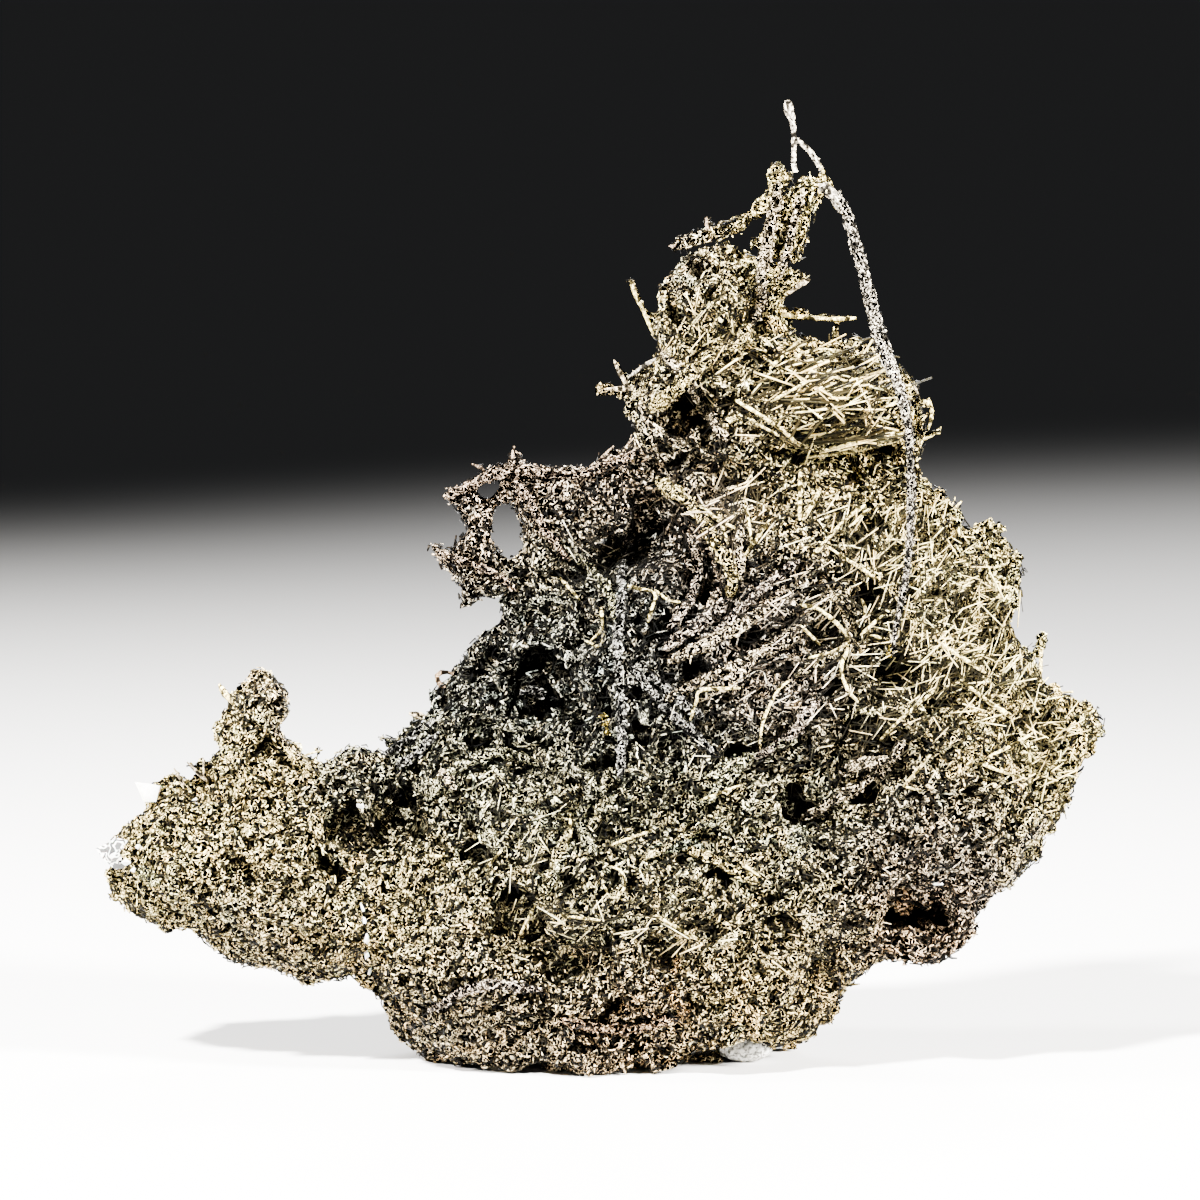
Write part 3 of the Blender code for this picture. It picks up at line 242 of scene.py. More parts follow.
# Needle fields of the photographed side: pixel, spread, how many, length, the general
# turn in degrees and how far the needles stray from it
NEEDLE_FIELDS = (
    ((830, 385), (60, 38), 140, 5.0, 18, 50), ((830, 390), (60, 38), 200, 3.0, 20, 85),
    ((950, 640), (90, 70), 800, 2.8, 35, 85), ((900, 540), (60, 50), 400, 2.6, 60, 80),
    ((735, 512), (38, 34), 110, 3.4, 40, 90), ((1040, 740), (40, 60), 180, 2.4, 20, 80),
    ((850, 436), (55, 6), 70, 5.0, 9, 14), ((800, 620), (50, 60), 130, 2.4, 30, 60),
    ((710, 330), (40, 40), 70, 2.4, 60, 80), ((580, 930), (50, 30), 60, 3.0, 0, 80),
    ((675, 925), (35, 25), 50, 3.0, 30, 60), ((700, 720), (70, 70), 70, 2.0, 40, 80),
    ((520, 850), (60, 50), 70, 2.2, 50, 70), ((820, 960), (50, 40), 60, 2.2, -20, 50),
    ((640, 560), (40, 30), 60, 2.2, 35, 50), ((590, 560), (30, 40), 60, 2.2, -45, 40),
    ((870, 720), (60, 50), 160, 2.4, 30, 80),
)

# Which way the wires run: pixel, spread, the turn in degrees anticlockwise from level, and
# how closely they keep to it
FLOWS = (
    ((730, 640), 70, 32, 1.6), ((620, 650), 16, 90, 2.0), ((560, 570), 40, -48, 1.4),
    ((680, 570), 35, 40, 1.2), ((940, 650), 90, 38, 0.5), ((850, 390), 55, 14, 0.8),
    ((700, 370), 40, 38, 1.5), ((860, 440), 40, 8, 1.5), ((560, 870), 35, 62, 0.9),
    ((430, 930), 60, 35, 0.6), ((780, 750), 50, 18, 1.3), ((560, 480), 60, 8, 1.0),
    ((720, 540), 25, -55, 1.3), ((900, 530), 40, -50, 0.8), ((820, 960), 50, -25, 0.5),
)

# Where the mat is of round grains and not of wires: pixel and spread
GRANULAR = (
    ((200, 850), 110), ((240, 730), 50), ((300, 930), 60), ((420, 970), 80), ((500, 1020), 60),
    ((640, 1030), 60), ((770, 1000), 60), ((490, 500), 60), ((690, 250), 50), ((900, 930), 50),
    ((380, 780), 50), ((1080, 780), 40),
)

# The wires, needles, creeping ropes and tints all draw from here, so the order of the calls
# matters; the chips and flecks have generators of their own, and the noise has seeds
scatter = np.random.default_rng(5)


def unit(rows):
    """Scale vectors to a length of one."""
    return rows / np.maximum(np.linalg.norm(rows, axis=-1, keepdims=True), 1e-9)


# The photograph's view

SIN, COS = math.sin(CAMERA_ELEVATION), math.cos(CAMERA_ELEVATION)
TOWARD_CAMERA = np.array((0.0, -COS, SIN))
VIEW_UP = np.array((0.0, SIN, COS))
CAMERA_AT = CAMERA_AIM + TOWARD_CAMERA * CAMERA_DISTANCE


def pixels(points):
    """Where points of the object fall in the photograph."""
    offset = points - CAMERA_AIM
    scale = CAMERA_DISTANCE / (CAMERA_DISTANCE - offset @ TOWARD_CAMERA) / PIXEL
    across = MIDDLE_PIXEL + offset[:, 0] * scale
    down = MIDDLE_PIXEL - (offset @ VIEW_UP) * scale
    return np.stack((across, down), axis=1)


def sight(pixel):
    """The direction in which the camera sees a pixel."""
    across = (pixel[0] - MIDDLE_PIXEL) * PIXEL
    up = (MIDDLE_PIXEL - pixel[1]) * PIXEL
    aim = CAMERA_AIM + np.array((across, 0.0, 0.0)) + VIEW_UP * up
    return unit(aim - CAMERA_AT)


def soft_patch(places, pixel, spread):
    """A soft patch of the photograph at some places: 1 in its middle, 0 far off."""
    return np.exp(-0.5 * np.linalg.norm((places - np.array(pixel)) / spread, axis=1) ** 2)


def smooth(values, low, high):
    """Rise gently from 0 at low to 1 at high."""
    part = np.clip((values - low) / (high - low), 0.0, 1.0)
    return part * part * (3.0 - 2.0 * part)


def seed_shift(seed):
    """How far a seed moves a noise."""
    return Vector([seed * step for step in (7.31, 3.17, 5.71)])


def lumps(points, size, seed):
    """Smooth noise, about -1 to 1, with lumps of a size."""
    shift = seed_shift(seed)
    return np.array([noise.noise(Vector(p) / size + shift) for p in points])


def cell_gaps(points, size, seed):
    """The distances, in sizes, to the nearest two of middles scattered about a size apart."""
    shift = seed_shift(seed)
    return np.array([noise.voronoi(Vector(p) / size + shift)[0][:2] for p in points])


# Surfaces are pairs of arrays: points and triangles

def link_in(name, data):
    """Put a new object into the scene."""
    thing = bpy.data.objects.new(name, data)
    bpy.context.scene.collection.objects.link(thing)
    return thing


def mesh_of(shape, name):
    """Turn a bmesh into a mesh."""
    mesh = bpy.data.meshes.new(name)
    shape.to_mesh(mesh)
    shape.free()
    return mesh


def read(items, field, kind):
    """Read a field of all the items of a mesh into rows of three."""
    flat = np.empty(3 * len(items), kind)
    items.foreach_get(field, flat)
    return flat.reshape(-1, 3)


def voxel_skin(mesh, voxel):
    """The skin that wraps a mesh in voxels of a size: points in mm and triangles."""
    thing = link_in("draft", mesh)
    wrap = thing.modifiers.new("wrap", "REMESH")
    wrap.mode = "VOXEL"
    wrap.voxel_size = voxel * MM
    bpy.context.view_layer.update()
    graph = bpy.context.evaluated_depsgraph_get()
    made = bpy.data.meshes.new_from_object(thing.evaluated_get(graph))
    bpy.data.objects.remove(thing)
    made.calc_loop_triangles()
    points = read(made.vertices, "co", np.float32).astype(float) / MM
    triangles = read(made.loop_triangles, "vertices", np.int32)
    bpy.data.meshes.remove(made)
    return points, triangles


def node_surface(names, voxel, swell=0.0, added=()):
    """A fine and even mesh over solids of the frame, swollen so that they meet, and over others."""
    shape = bmesh.new()
    for name in names:
        shape.from_mesh(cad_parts[name].data)
    bmesh.ops.remove_doubles(shape, verts=shape.verts, dist=0.0000001)
    bmesh.ops.recalc_face_normals(shape, faces=shape.faces)
    shape.normal_update()
    for vert in shape.verts:
        vert.co += vert.normal * swell * MM
    for points, triangles in added:
        verts = [shape.verts.new(Vector(point) * MM) for point in points]
        for corners in triangles:
            shape.faces.new([verts[corner] for corner in corners])
    return voxel_skin(mesh_of(shape, "draft"), voxel)


def tree_of(points, triangles):
    """A search tree over a surface."""
    return BVHTree.FromPolygons(points.tolist(), triangles.tolist())


def nodes_tree(names, scale=1.0):
    """A search tree over solids of the frame, in metres times a scale."""
    solids = bmesh.new()
    for name in names:
        solids.from_mesh(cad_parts[name].data)
    solids.transform(Matrix.Scale(scale, 4))
    tree = BVHTree.FromBMesh(solids)
    solids.free()
    return tree


def triangle_sides(points, triangles):
    """The first corner of each triangle, its two sides from there, and their cross product."""
    a, b, c = (points[triangles[:, k]] for k in range(3))
    return a, b - a, c - a, np.cross(b - a, c - a)


def vertex_normals(points, triangles):
    """The outward direction at each point of a surface."""
    facing = triangle_sides(points, triangles)[3]
    total = np.zeros_like(points)
    for k in range(3):
        np.add.at(total, triangles[:, k], facing)
    return unit(total)


def joined(surfaces):
    """Several surfaces as one."""
    points, triangles, count = [], [], 0
    for some_points, some_triangles in surfaces:
        points.append(some_points)
        triangles.append(some_triangles + count)
        count += len(some_points)
    return np.concatenate(points), np.concatenate(triangles)


def nearest(tree, points):
    """The nearest place on a tree's surface to each point, and the surface's direction there."""
    places, facing = np.empty_like(points), np.empty_like(points)
    for row, point in enumerate(points):
        places[row], facing[row] = tree.find_nearest(point)[:2]
    return places, facing


# Tarnish

TARNISH_DRIFT = 14.0
DRIFT_SIZE = 6.0
TAUPE_EVERYWHERE = 0.02
WARMTH = 0.07
DARK_AT_MOST = 0.88
BRIGHT_GRAINS = (0.8, 2.0)
DARK_GRAINS = (0.0, 0.025)


def within_one(colours):
    """Colours scaled down where their brightest part is over one, so that the hue stays."""
    return np.clip(colours / np.maximum(colours.max(axis=1, keepdims=True), 1.0), 0.0, 1.0)


def tarnish(points, spread=0.30):
    """The tarnish colour at points: a blend of the zones, with a little of each one's own."""
    drift = TARNISH_DRIFT * np.stack([lumps(points, DRIFT_SIZE, seed) for seed in (21, 22)], axis=1)
    places = pixels(points) + drift
    total = np.full((len(points), 1), TAUPE_EVERYWHERE)
    colour = total * np.array(TAUPE)
    for pixel, reach, strength, tint in ZONES:
        weight = strength * soft_patch(places, pixel, reach)[:, None]
        total += weight
        colour += weight * np.array(tint)
    own = scatter.normal(0.0, 1.0, (len(points), 1))
    warm = scatter.normal(0.0, WARMTH, (len(points), 1))
    shade = np.exp(spread * own) * (1.0 + warm * np.array((1.0, 0.1, -1.0)))
    return colour / total * shade


def two_tone(tints, share):
    """Tints split into dark and bright grains: the paler the tint, the fewer are dark."""
    count, level = len(tints), tints.max(axis=1)
    dark = scatter.random(count) < np.minimum(share * (1.4 - 0.45 * level), DARK_AT_MOST)
    bright = scatter.uniform(*BRIGHT_GRAINS, count) * level ** -0.2
    return tints * np.where(dark, scatter.uniform(*DARK_GRAINS, count), bright)[:, None]


# What the mat is like at points, as the camera sees them

DENSE_FIELD = 150
LOCAL_FLOW = 0.25
LOCAL_FLOW_SIZE = 4.0


def strongest(points, patches):
    """The strongest of some soft patches at points."""
    places = pixels(points)
    return np.max([soft_patch(places, *patch) for patch in patches], axis=0)


def granular(points):
    """How much the mat is of round grains at points, 0 to 1."""
    return strongest(points, GRANULAR)


def straw(points):
    """How much the mat is of straight needles at points, 0 to 1."""
    return strongest(points, [field[:2] for field in NEEDLE_FIELDS if field[2] > DENSE_FIELD])


def flow(points):
    """Which way the wires run at points, as a turn, and how closely they keep to it."""
    places = pixels(points)
    double = np.zeros((len(points), 2))
    for pixel, spread, turn, hold in FLOWS:
        angle = 2.0 * math.radians(turn)
        weight = hold * soft_patch(places, pixel, spread)[:, None]
        double += weight * np.array((math.cos(angle), math.sin(angle)))
    local = math.pi * 1.3 * lumps(points, LOCAL_FLOW_SIZE, 91)
    double += LOCAL_FLOW * np.stack((np.cos(2.0 * local), np.sin(2.0 * local)), axis=1)
    return 0.5 * np.arctan2(double[:, 1], double[:, 0]), np.linalg.norm(double, axis=1)


def off_openings(points):
    """Whether points keep off the openings."""
    places = pixels(points)
    clear = np.ones(len(points), bool)
    for pixel, half_width, half_height in OPENINGS:
        gap = np.linalg.norm((places - np.array(pixel)) / (half_width, half_height), axis=1)
        clear &= gap > 1.0
    return clear


# Crusts

FLOOR_CLEARANCE = 0.05
THICK = 6.0
UNDER_SKIN = 0.05
SINK_AT_MOST = 0.22
SEAM_FILL = 0.25
SEAM_SEARCH = 3.0
# Solids that the crusts bridge to each other; the others only touch
MEETING = (("main_mass", "tower"), ("left_lobe",), ("left_arch",))
OUTLINE_STEP = 5.0
OUTLINE_CELLS = 240
OUTLINE_REACH = 5


def sunk_hollows(points, facing):
    """How far the photographed side's hollows push each point back, and the painted shade there."""
    places = pixels(points)
    push, dark = np.zeros(len(points)), np.zeros(len(points))
    frayed = 1.0 + 0.7 * lumps(points, 1.7, 31) + 0.45 * lumps(points, 0.8, 32)
    seen = smooth(-facing[:, 1], -0.1, 0.35)
    for pixel, half_width, half_height, turn, depth in HOLLOWS:
        offset = places - np.array(pixel)
        near = np.abs(offset).max(axis=1) < 1.5 * max(half_width, half_height)
        x, y = offset[near].T
        sin, cos = math.sin(math.radians(turn)), math.cos(math.radians(turn))
        gap = np.hypot((x * cos - y * sin) / half_width, (x * sin + y * cos) / half_height)
        within = 1.0 - gap * frayed[near]
        push[near] = np.maximum(push[near], smooth(within, 0.0, 0.6) * seen[near] * depth)
        # Painted shade in the hollows, only on the parts turned toward the camera
        dark[near] = np.maximum(dark[near], smooth(within, -0.2, 0.15) * seen[near])
    return push, dark


def creases(points, size, seed):
    """The valleys between scattered clumps about a size apart: 1 in the valley, 0 on a clump."""
    first, second = cell_gaps(points, size, seed).T
    return 1.0 - smooth(second - first, 0.0, 0.45)


def thickness_under(points, triangles, facing):
    """How thick the solid is under each point of its surface, up to a limit."""
    tree = tree_of(points, triangles)
    found = (tree.ray_cast(Vector(p - UNDER_SKIN * n), Vector(-n), THICK)[3]
             for p, n in zip(points, facing))
    return np.array([THICK if depth is None else depth for depth in found])


def seam(points):
    """1 within 0.5 mm of where two solids of the form meet, 0 from 1.2 mm away."""
    gaps = []
    for names in MEETING:
        tree = nodes_tree(names)
        found = (tree.find_nearest(Vector(p) * MM, SEAM_SEARCH * MM)[3] for p in points)
        gaps.append([SEAM_SEARCH if gap is None else gap / MM for gap in found])
    second = np.sort(np.array(gaps), axis=0)[1]
    return smooth(-second, -1.2, -0.5)


def inside_outline(tree):
    """A map of the camera's view: 0 off the object and at its outline, 1 well inside."""
    hit = np.zeros((OUTLINE_CELLS, OUTLINE_CELLS))
    for row, column in np.ndindex(hit.shape):
        pixel = np.array((column + 0.5, row + 0.5)) * OUTLINE_STEP
        hit[row, column] = tree.ray_cast(Vector(CAMERA_AT), Vector(sight(pixel)))[0] is not None
    box = np.ones(OUTLINE_REACH) / OUTLINE_REACH
    for axis in (0, 1):
        hit = np.apply_along_axis(np.convolve, axis, hit, box, "same")
    return smooth(hit, 0.75, 1.0)


def on_map(view_map, points):
    """The values of a map of the camera's view at points."""
    column, row = np.clip(pixels(points) / OUTLINE_STEP, 0, OUTLINE_CELLS - 1).astype(int).T
    return view_map[row, column]


def uneven(points, clump, seed):
    """How far points are in the wide valleys, fine creases, pits and bumps between clumps."""
    fray = np.stack([lumps(points, 0.6 * clump, seed + k) for k in range(3)], axis=1)
    frayed = points + 0.25 * clump * fray
    wide = creases(frayed, 2.4 * clump, seed + 3) * smooth(lumps(points, 3.0 * clump, seed + 4), -0.25, 0.2)
    fine = creases(frayed, clump, seed + 5) * smooth(lumps(points, 1.7 * clump, seed + 9), -0.3, 0.3)
    pits = smooth(0.42 - cell_gaps(frayed, 0.85 * clump, seed + 6)[:, 0], 0.0, 0.25)
    pits *= smooth(lumps(points, 2.2 * clump, seed + 7), -0.15, 0.15)
    return wide, fine, pits, lumps(points, 0.5 * clump, seed + 8)


def make_crust(nodes, voxel, swell, inset, relief, clump, seed, added=()):
    """The uneven crust under the wires of some solids, and the painted shade at each point."""
    points, triangles = node_surface(nodes, voxel, swell, added)
    facing = vertex_normals(points, triangles)
    thick = thickness_under(points, triangles, facing)
    square_on = smooth(np.abs(facing @ TOWARD_CAMERA), 0.1, 0.5)
    # Where the painted shade of pits and creases shows: on thick parts, turned toward the camera and away
    # from the outline
    shown = smooth(thick, 0.8, 2.5) * (0.25 + 0.75 * square_on) * (0.2 + 0.8 * on_map(INSIDE, points))
    meets = seam(points)
    push, dark = sunk_hollows(points, facing)
    wide, fine, pits, bumpy = uneven(points, clump, seed)
    sink = inset + swell + relief * (0.8 * wide + 0.5 * fine + 1.1 * pits - 0.35 * bumpy - 0.2)
    sink = np.minimum(np.maximum(sink, swell), swell + SINK_AT_MOST * thick)
    sink = sink * (1.0 - meets) - SEAM_FILL * meets
    moved = points - facing * sink[:, None]
    moved[:, 1] += push
    moved[:, 2] = np.maximum(moved[:, 2], FLOOR_CLEARANCE)
    # Painted shade in the pits and creases, weaker where the mat is of grains, joined to the painted shade
    # of the hollows
    deepest = np.maximum.reduce((pits, 0.5 * wide, 0.6 * fine))
    return moved, triangles, np.maximum(dark, deepest * (1.0 - 0.55 * granular(points)) * shown)


# Ropes and wires

def curve_through(points, spacing):
    """Points a spacing apart on a smooth curve through some points."""
    points = np.asarray(points, float)
    padded = np.vstack((2 * points[0] - points[1], points, 2 * points[-1] - points[-2]))
    dense = []
    for p0, p1, p2, p3 in zip(padded, padded[1:], padded[2:], padded[3:]):
        for t in np.arange(0.0, 1.0, 0.1):
            dense.append(0.5 * (2 * p1 + (p2 - p0) * t + (2 * p0 - 5 * p1 + 4 * p2 - p3) * t ** 2
                                + (3 * p1 - p0 - 3 * p2 + p3) * t ** 3))
    dense = np.array(dense + [points[-1]])
    length = np.concatenate(([0.0], np.cumsum(np.linalg.norm(np.diff(dense, axis=0), axis=1))))
    count = max(int(length[-1] / spacing), 3)
    wanted = np.linspace(0.0, length[-1], count)
    return np.stack([np.interp(wanted, length, dense[:, k]) for k in range(3)], axis=1)


def at_depth(pixel, depth):
    """The place that the camera sees at a pixel, at a depth."""
    return CAMERA_AT + sight(pixel) * (depth - CAMERA_AT[1]) / sight(pixel)[1]


def seen_place(tree, pixel):
    """The place on a surface that the camera sees at a pixel."""
    place = tree.ray_cast(Vector(CAMERA_AT), Vector(sight(pixel)))[0]
    return at_depth(pixel, 0.0) if place is None else np.array(place)


def laid_path(tree, path, spacing, rise):
    """A path through pixels, laid on a surface and held out from it by a rise."""
    line = curve_through([seen_place(tree, pixel) for pixel in path], spacing)
    depth = np.array([seen_place(tree, pixel) @ TOWARD_CAMERA for pixel in pixels(line)])
    lift = np.maximum(depth - line @ TOWARD_CAMERA, 0.0)
    spread = np.convolve(np.pad(lift, 2, mode="edge"), np.ones(5) / 5, mode="valid")
    return line + TOWARD_CAMERA * (np.maximum(lift, spread)[:, None] + rise)


def crawled_path(tree, start, heading, length, spacing, wander):
    """A path that creeps over a surface from a start."""
    line = []
    place = np.array(start)
    for _ in range(int(length / spacing)):
        found = tree.find_nearest(Vector(place))
        place, facing = np.array(found[0]), np.array(found[1])
        line.append(place)
        heading = heading - facing * (heading @ facing) + wander * scatter.normal(0.0, 1.0, 3)
        heading = unit(heading)
        place = place + heading * spacing
    return np.array(line)


def tube_triangles(tubes, rings, sides):
    """The triangles of a number of closed tubes, with outward faces."""
    row, side = np.meshgrid(np.arange(rings - 1), np.arange(sides), indexing="ij")
    low = (row * sides + side).ravel()
    low_next = (row * sides + (side + 1) % sides).ravel()
    wall = np.concatenate((np.stack((low, low_next + sides, low_next), axis=1),
                           np.stack((low, low + sides, low_next + sides), axis=1)))
    fan = np.arange(1, sides - 1)
    first = np.stack((np.zeros_like(fan), fan, fan + 1), axis=1)
    last = np.stack((np.zeros_like(fan), fan + 1, fan), axis=1) + (rings - 1) * sides
    one = np.concatenate((wall, first, last))
    return (one[None] + (np.arange(tubes) * rings * sides)[:, None, None]).reshape(-1, 3)


def tubes(centres, facing, radii, sides):
    """Closed tubes round rows of centres, all with the same number of rings."""
    count, rings, _ = centres.shape
    ahead = unit(np.gradient(centres, axis=1))
    across = unit(np.cross(ahead, facing))
    out = np.cross(across, ahead)
    angle = np.arange(sides) * 2.0 * math.pi / sides
    ring = (np.cos(angle)[:, None] * across[:, :, None]
            + np.sin(angle)[:, None] * out[:, :, None])
    points = centres[:, :, None] + radii[:, :, None, None] * ring
    return points.reshape(-1, 3), tube_triangles(count, rings, sides)


def rope_surface(line, facing, radii, sides):
    """A closed tube round a path."""
    return tubes(line[None], facing[None], radii[None], sides)


def rounded_ends(line, start, full):
    """How a rope thins toward its ends, ring by ring."""
    rings = np.arange(len(line))
    return smooth(np.minimum(rings, rings[::-1]), start, full)


def toward_camera(line):
    """The direction to the camera for each point of a line."""
    return np.tile(TOWARD_CAMERA, (len(line), 1))


# Scattering

OVERSAMPLE = 3.0
WIRE_SIDES = 3
NEEDLE_SIDES = 4
NEEDLE_TAPER = (1.0, 0.7)
ROOT_SHARE = 0.4
SWOLLEN = (0.65, 1.4)
# How far wires stray, as parts of their length: curled, wavy and tilted; and in mm, uneven
CURL = 0.55
WAVE = 0.10
TILT = 0.22
UNEVEN = 0.04
TUBE_CLEARANCE = 0.03


def scattered(points, triangles, cell):
    """Places spread over a surface, about one in each cell: places, directions, triangles."""
    corner, side, other, facing = triangle_sides(points, triangles)
    area = 0.5 * np.linalg.norm(facing, axis=1)
    count = int(OVERSAMPLE * area.sum() / cell ** 2)
    chosen = scatter.choice(len(triangles), count, p=area / area.sum())
    u, v = scatter.random(count), scatter.random(count)
    over = u + v > 1.0
    u[over], v[over] = 1.0 - u[over], 1.0 - v[over]
    spots = corner[chosen] + u[:, None] * side[chosen] + v[:, None] * other[chosen]
    _, kept = np.unique(np.floor(spots / cell).astype(int), axis=0, return_index=True)
    kept.sort()
    return spots[kept], unit(facing)[chosen[kept]], chosen[kept]


def short_wires(tree, spots, facing, heading, length, thickness, rise, rings):
    """Short lumpy wires that lie on a surface, one at each spot."""
    count = len(spots)
    along = np.linspace(-0.5, 0.5, rings)
    across = np.cross(facing, heading)
    curl = scatter.normal(0.0, CURL, (count, 1)) * length[:, None]
    wave = scatter.normal(0.0, WAVE, (count, rings)) * length[:, None]
    sideways = curl * (along ** 2 * 4.0 - 0.5) + wave
    centres = (spots[:, None] + heading[:, None] * (along * length[:, None])[..., None]
               + across[:, None] * sideways[..., None])
    places, out = nearest(tree, centres.reshape(-1, 3))
    tilt = scatter.normal(0.0, TILT, (count, 1)) * along * length[:, None]
    height = np.maximum(rise[:, None] + tilt, -0.1) + scatter.normal(0.0, UNEVEN, (count, rings))
    centres = places.reshape(count, rings, 3) + out.reshape(count, rings, 3) * height[..., None]
    taper = 1.0 - 1.6 * along ** 2
    radii = 0.5 * thickness[:, None] * taper * scatter.uniform(*SWOLLEN, (count, rings))
    centres[..., 2] = np.maximum(centres[..., 2], radii + TUBE_CLEARANCE)
    return tubes(centres, facing[:, None], radii, WIRE_SIDES)


def straight_needles(spots, facing, heading, length, thickness, rise, pitch):
    """Straight needles that leave a surface at a slant."""
    stance = unit(heading * np.cos(pitch)[:, None] + facing * np.sin(pitch)[:, None])
    root = spots + facing * rise[:, None] - stance * (ROOT_SHARE * length)[:, None]
    tip = root + stance * length[:, None]
    centres = np.stack((root, tip), axis=1)
    radii = 0.5 * thickness[:, None] * np.array(NEEDLE_TAPER)
    centres[..., 2] = np.maximum(centres[..., 2], radii + TUBE_CLEARANCE)
    return tubes(centres, facing[:, None], radii, NEEDLE_SIDES)


def either_way(count):
    """A plus or a minus one for each of a count."""
    return np.where(scatter.random(count) < 0.5, 1.0, -1.0)[:, None]


def turned(facing, angle):
    """A direction in the surface at a turn from level, as the camera sees it."""
    level = unit(np.cross(facing, VIEW_UP))
    level = np.where(np.abs(facing @ VIEW_UP)[:, None] > 0.98, np.array((1.0, 0.0, 0.0)), level)
    level = unit(level - facing * np.sum(level * facing, axis=1, keepdims=True))
    rise = np.cross(level, facing)
    back = np.where(facing[:, 1] > 0.0, -1.0, 1.0)[:, None]
    return unit(-level * np.cos(angle)[:, None] * back + rise * np.sin(angle)[:, None])


def headings(points, facing, loose=1.0):
    """A direction in the surface at each point: it follows the flow as far as that holds."""
    turn, hold = flow(points)
    stray = scatter.normal(0.0, 1.0, len(points)) * loose / (0.35 + 2.0 * hold)
    return turned(facing, turn + stray) * either_way(len(points))


# Pieces

def add_piece(mesh, material, slot, *replaced):
    """Put a mesh into the scene as a piece that rides on the specimen."""
    mesh.materials.append(material)
    piece = link_in(mesh.name, mesh)
    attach(piece, "root")
    if replaced:
        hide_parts(*replaced)


def make_piece(name, points, triangles, colours, material, slot, *replaced):
    """Make a piece of a surface, with a colour at each point: its tarnish, and on the crusts, wires and
    needles painted light and shade too.
    """
    mesh = bpy.data.meshes.new(name)
    mesh.vertices.add(len(points))
    mesh.vertices.foreach_set("co", (points * MM).astype(np.float32).ravel())
    mesh.loops.add(3 * len(triangles))
    mesh.loops.foreach_set("vertex_index", triangles.astype(np.int32).ravel())
    mesh.polygons.add(len(triangles))
    mesh.polygons.foreach_set("loop_start", np.arange(0, 3 * len(triangles), 3, dtype=np.int32))
    mesh.polygons.foreach_set("use_smooth", np.ones(len(triangles), bool))
    mesh.update(calc_edges=True)
    if colours is not None:
        # The attribute holds the tarnish, and on the crusts, wires and needles also painted light and shade
        tint = mesh.color_attributes.new("tarnish", "FLOAT_COLOR", "POINT")
        rows = np.column_stack((colours, np.ones(len(colours)))).astype(np.float32)
        tint.data.foreach_set("color", rows.ravel())
    add_piece(mesh, material, slot, *replaced)


# Materials

class Look:
    """A material in the making: its methods add nodes and hand back what they put out."""

    def __init__(self, name):
        self.material = bpy.data.materials.new(name)
        self.material.use_nodes = True
        self.nodes = self.material.node_tree.nodes
        self.links = self.material.node_tree.links
        self.shader = self.nodes["Principled BSDF"]

    def fix(self, socket, value):
        """Set a socket of the shader to a value."""
        self.shader.inputs[socket].default_value = value

    def feed(self, socket, source):
        """Link a source to a socket of the shader."""
        self.links.new(source, self.shader.inputs[socket])

    def tarnish(self):
        """The colour that the points of the mesh carry: their tarnish, with painted light and shade on the
        crusts, wires and needles.
        """
        tint = self.nodes.new("ShaderNodeAttribute")
        tint.attribute_name = "tarnish"
        return tint.outputs["Color"]

    def noise(self, scale, detail, distortion):
        """A noise texture in the object's own space."""
        place = self.nodes.new("ShaderNodeTexCoord")
        texture = self.nodes.new("ShaderNodeTexNoise")
        texture.inputs["Scale"].default_value = scale
        texture.inputs["Detail"].default_value = detail
        texture.inputs["Distortion"].default_value = distortion
        self.links.new(place.outputs["Object"], texture.inputs["Vector"])
        return texture.outputs["Fac"]

    def ramp(self, source, *stops):
        """A colour ramp with stops given as a place and a grey or a colour."""
        node = self.nodes.new("ShaderNodeValToRGB")
        elements = node.color_ramp.elements
        while len(elements) < len(stops):
            elements.new(0.5)
        for element, (place, colour) in zip(elements, stops):
            element.position = place
            element.color = (*np.broadcast_to(colour, 3), 1.0)
        self.links.new(source, node.inputs["Fac"])
        return node.outputs["Color"]

    def times(self, colour, factor):
        """One colour multiplied by another."""
        mix = self.nodes.new("ShaderNodeMix")
        mix.data_type = "RGBA"
        mix.blend_type = "MULTIPLY"
        mix.inputs["Factor"].default_value = 1.0
        self.links.new(colour, mix.inputs["A"])
        self.links.new(factor, mix.inputs["B"])
        return mix.outputs["Result"]

    def relief(self, source, height):
        """Fine relief from a texture, of a height in metres."""
        bump = self.nodes.new("ShaderNodeBump")
        bump.inputs["Strength"].default_value = 0.6
        bump.inputs["Distance"].default_value = height
        self.links.new(source, bump.inputs["Height"])
        self.feed("Normal", bump.outputs["Normal"])


def silver_material(name, metallic, rough, grain_scale, cut, edge, low, high):
    """Tarnished silver: the points' tarnish with their painted light and shade, mottled by noise, with a
    fine uneven skin.
    """
    look = Look(name)
    tint = look.tarnish()
    patch = look.noise(grain_scale, 3.0, 0.4)
    shade = look.ramp(patch, (cut - edge, low), (cut + edge, high))
    look.feed("Base Color", look.times(tint, shade))
    look.feed("Roughness", look.ramp(patch, (0.3, rough + 0.12), (0.7, rough - 0.1)))
    look.fix("Metallic", metallic)
    look.fix("Specular IOR Level", 0.05)
    look.relief(look.noise(6000.0, 2.0, 0.0), 0.00006)
    return look.material


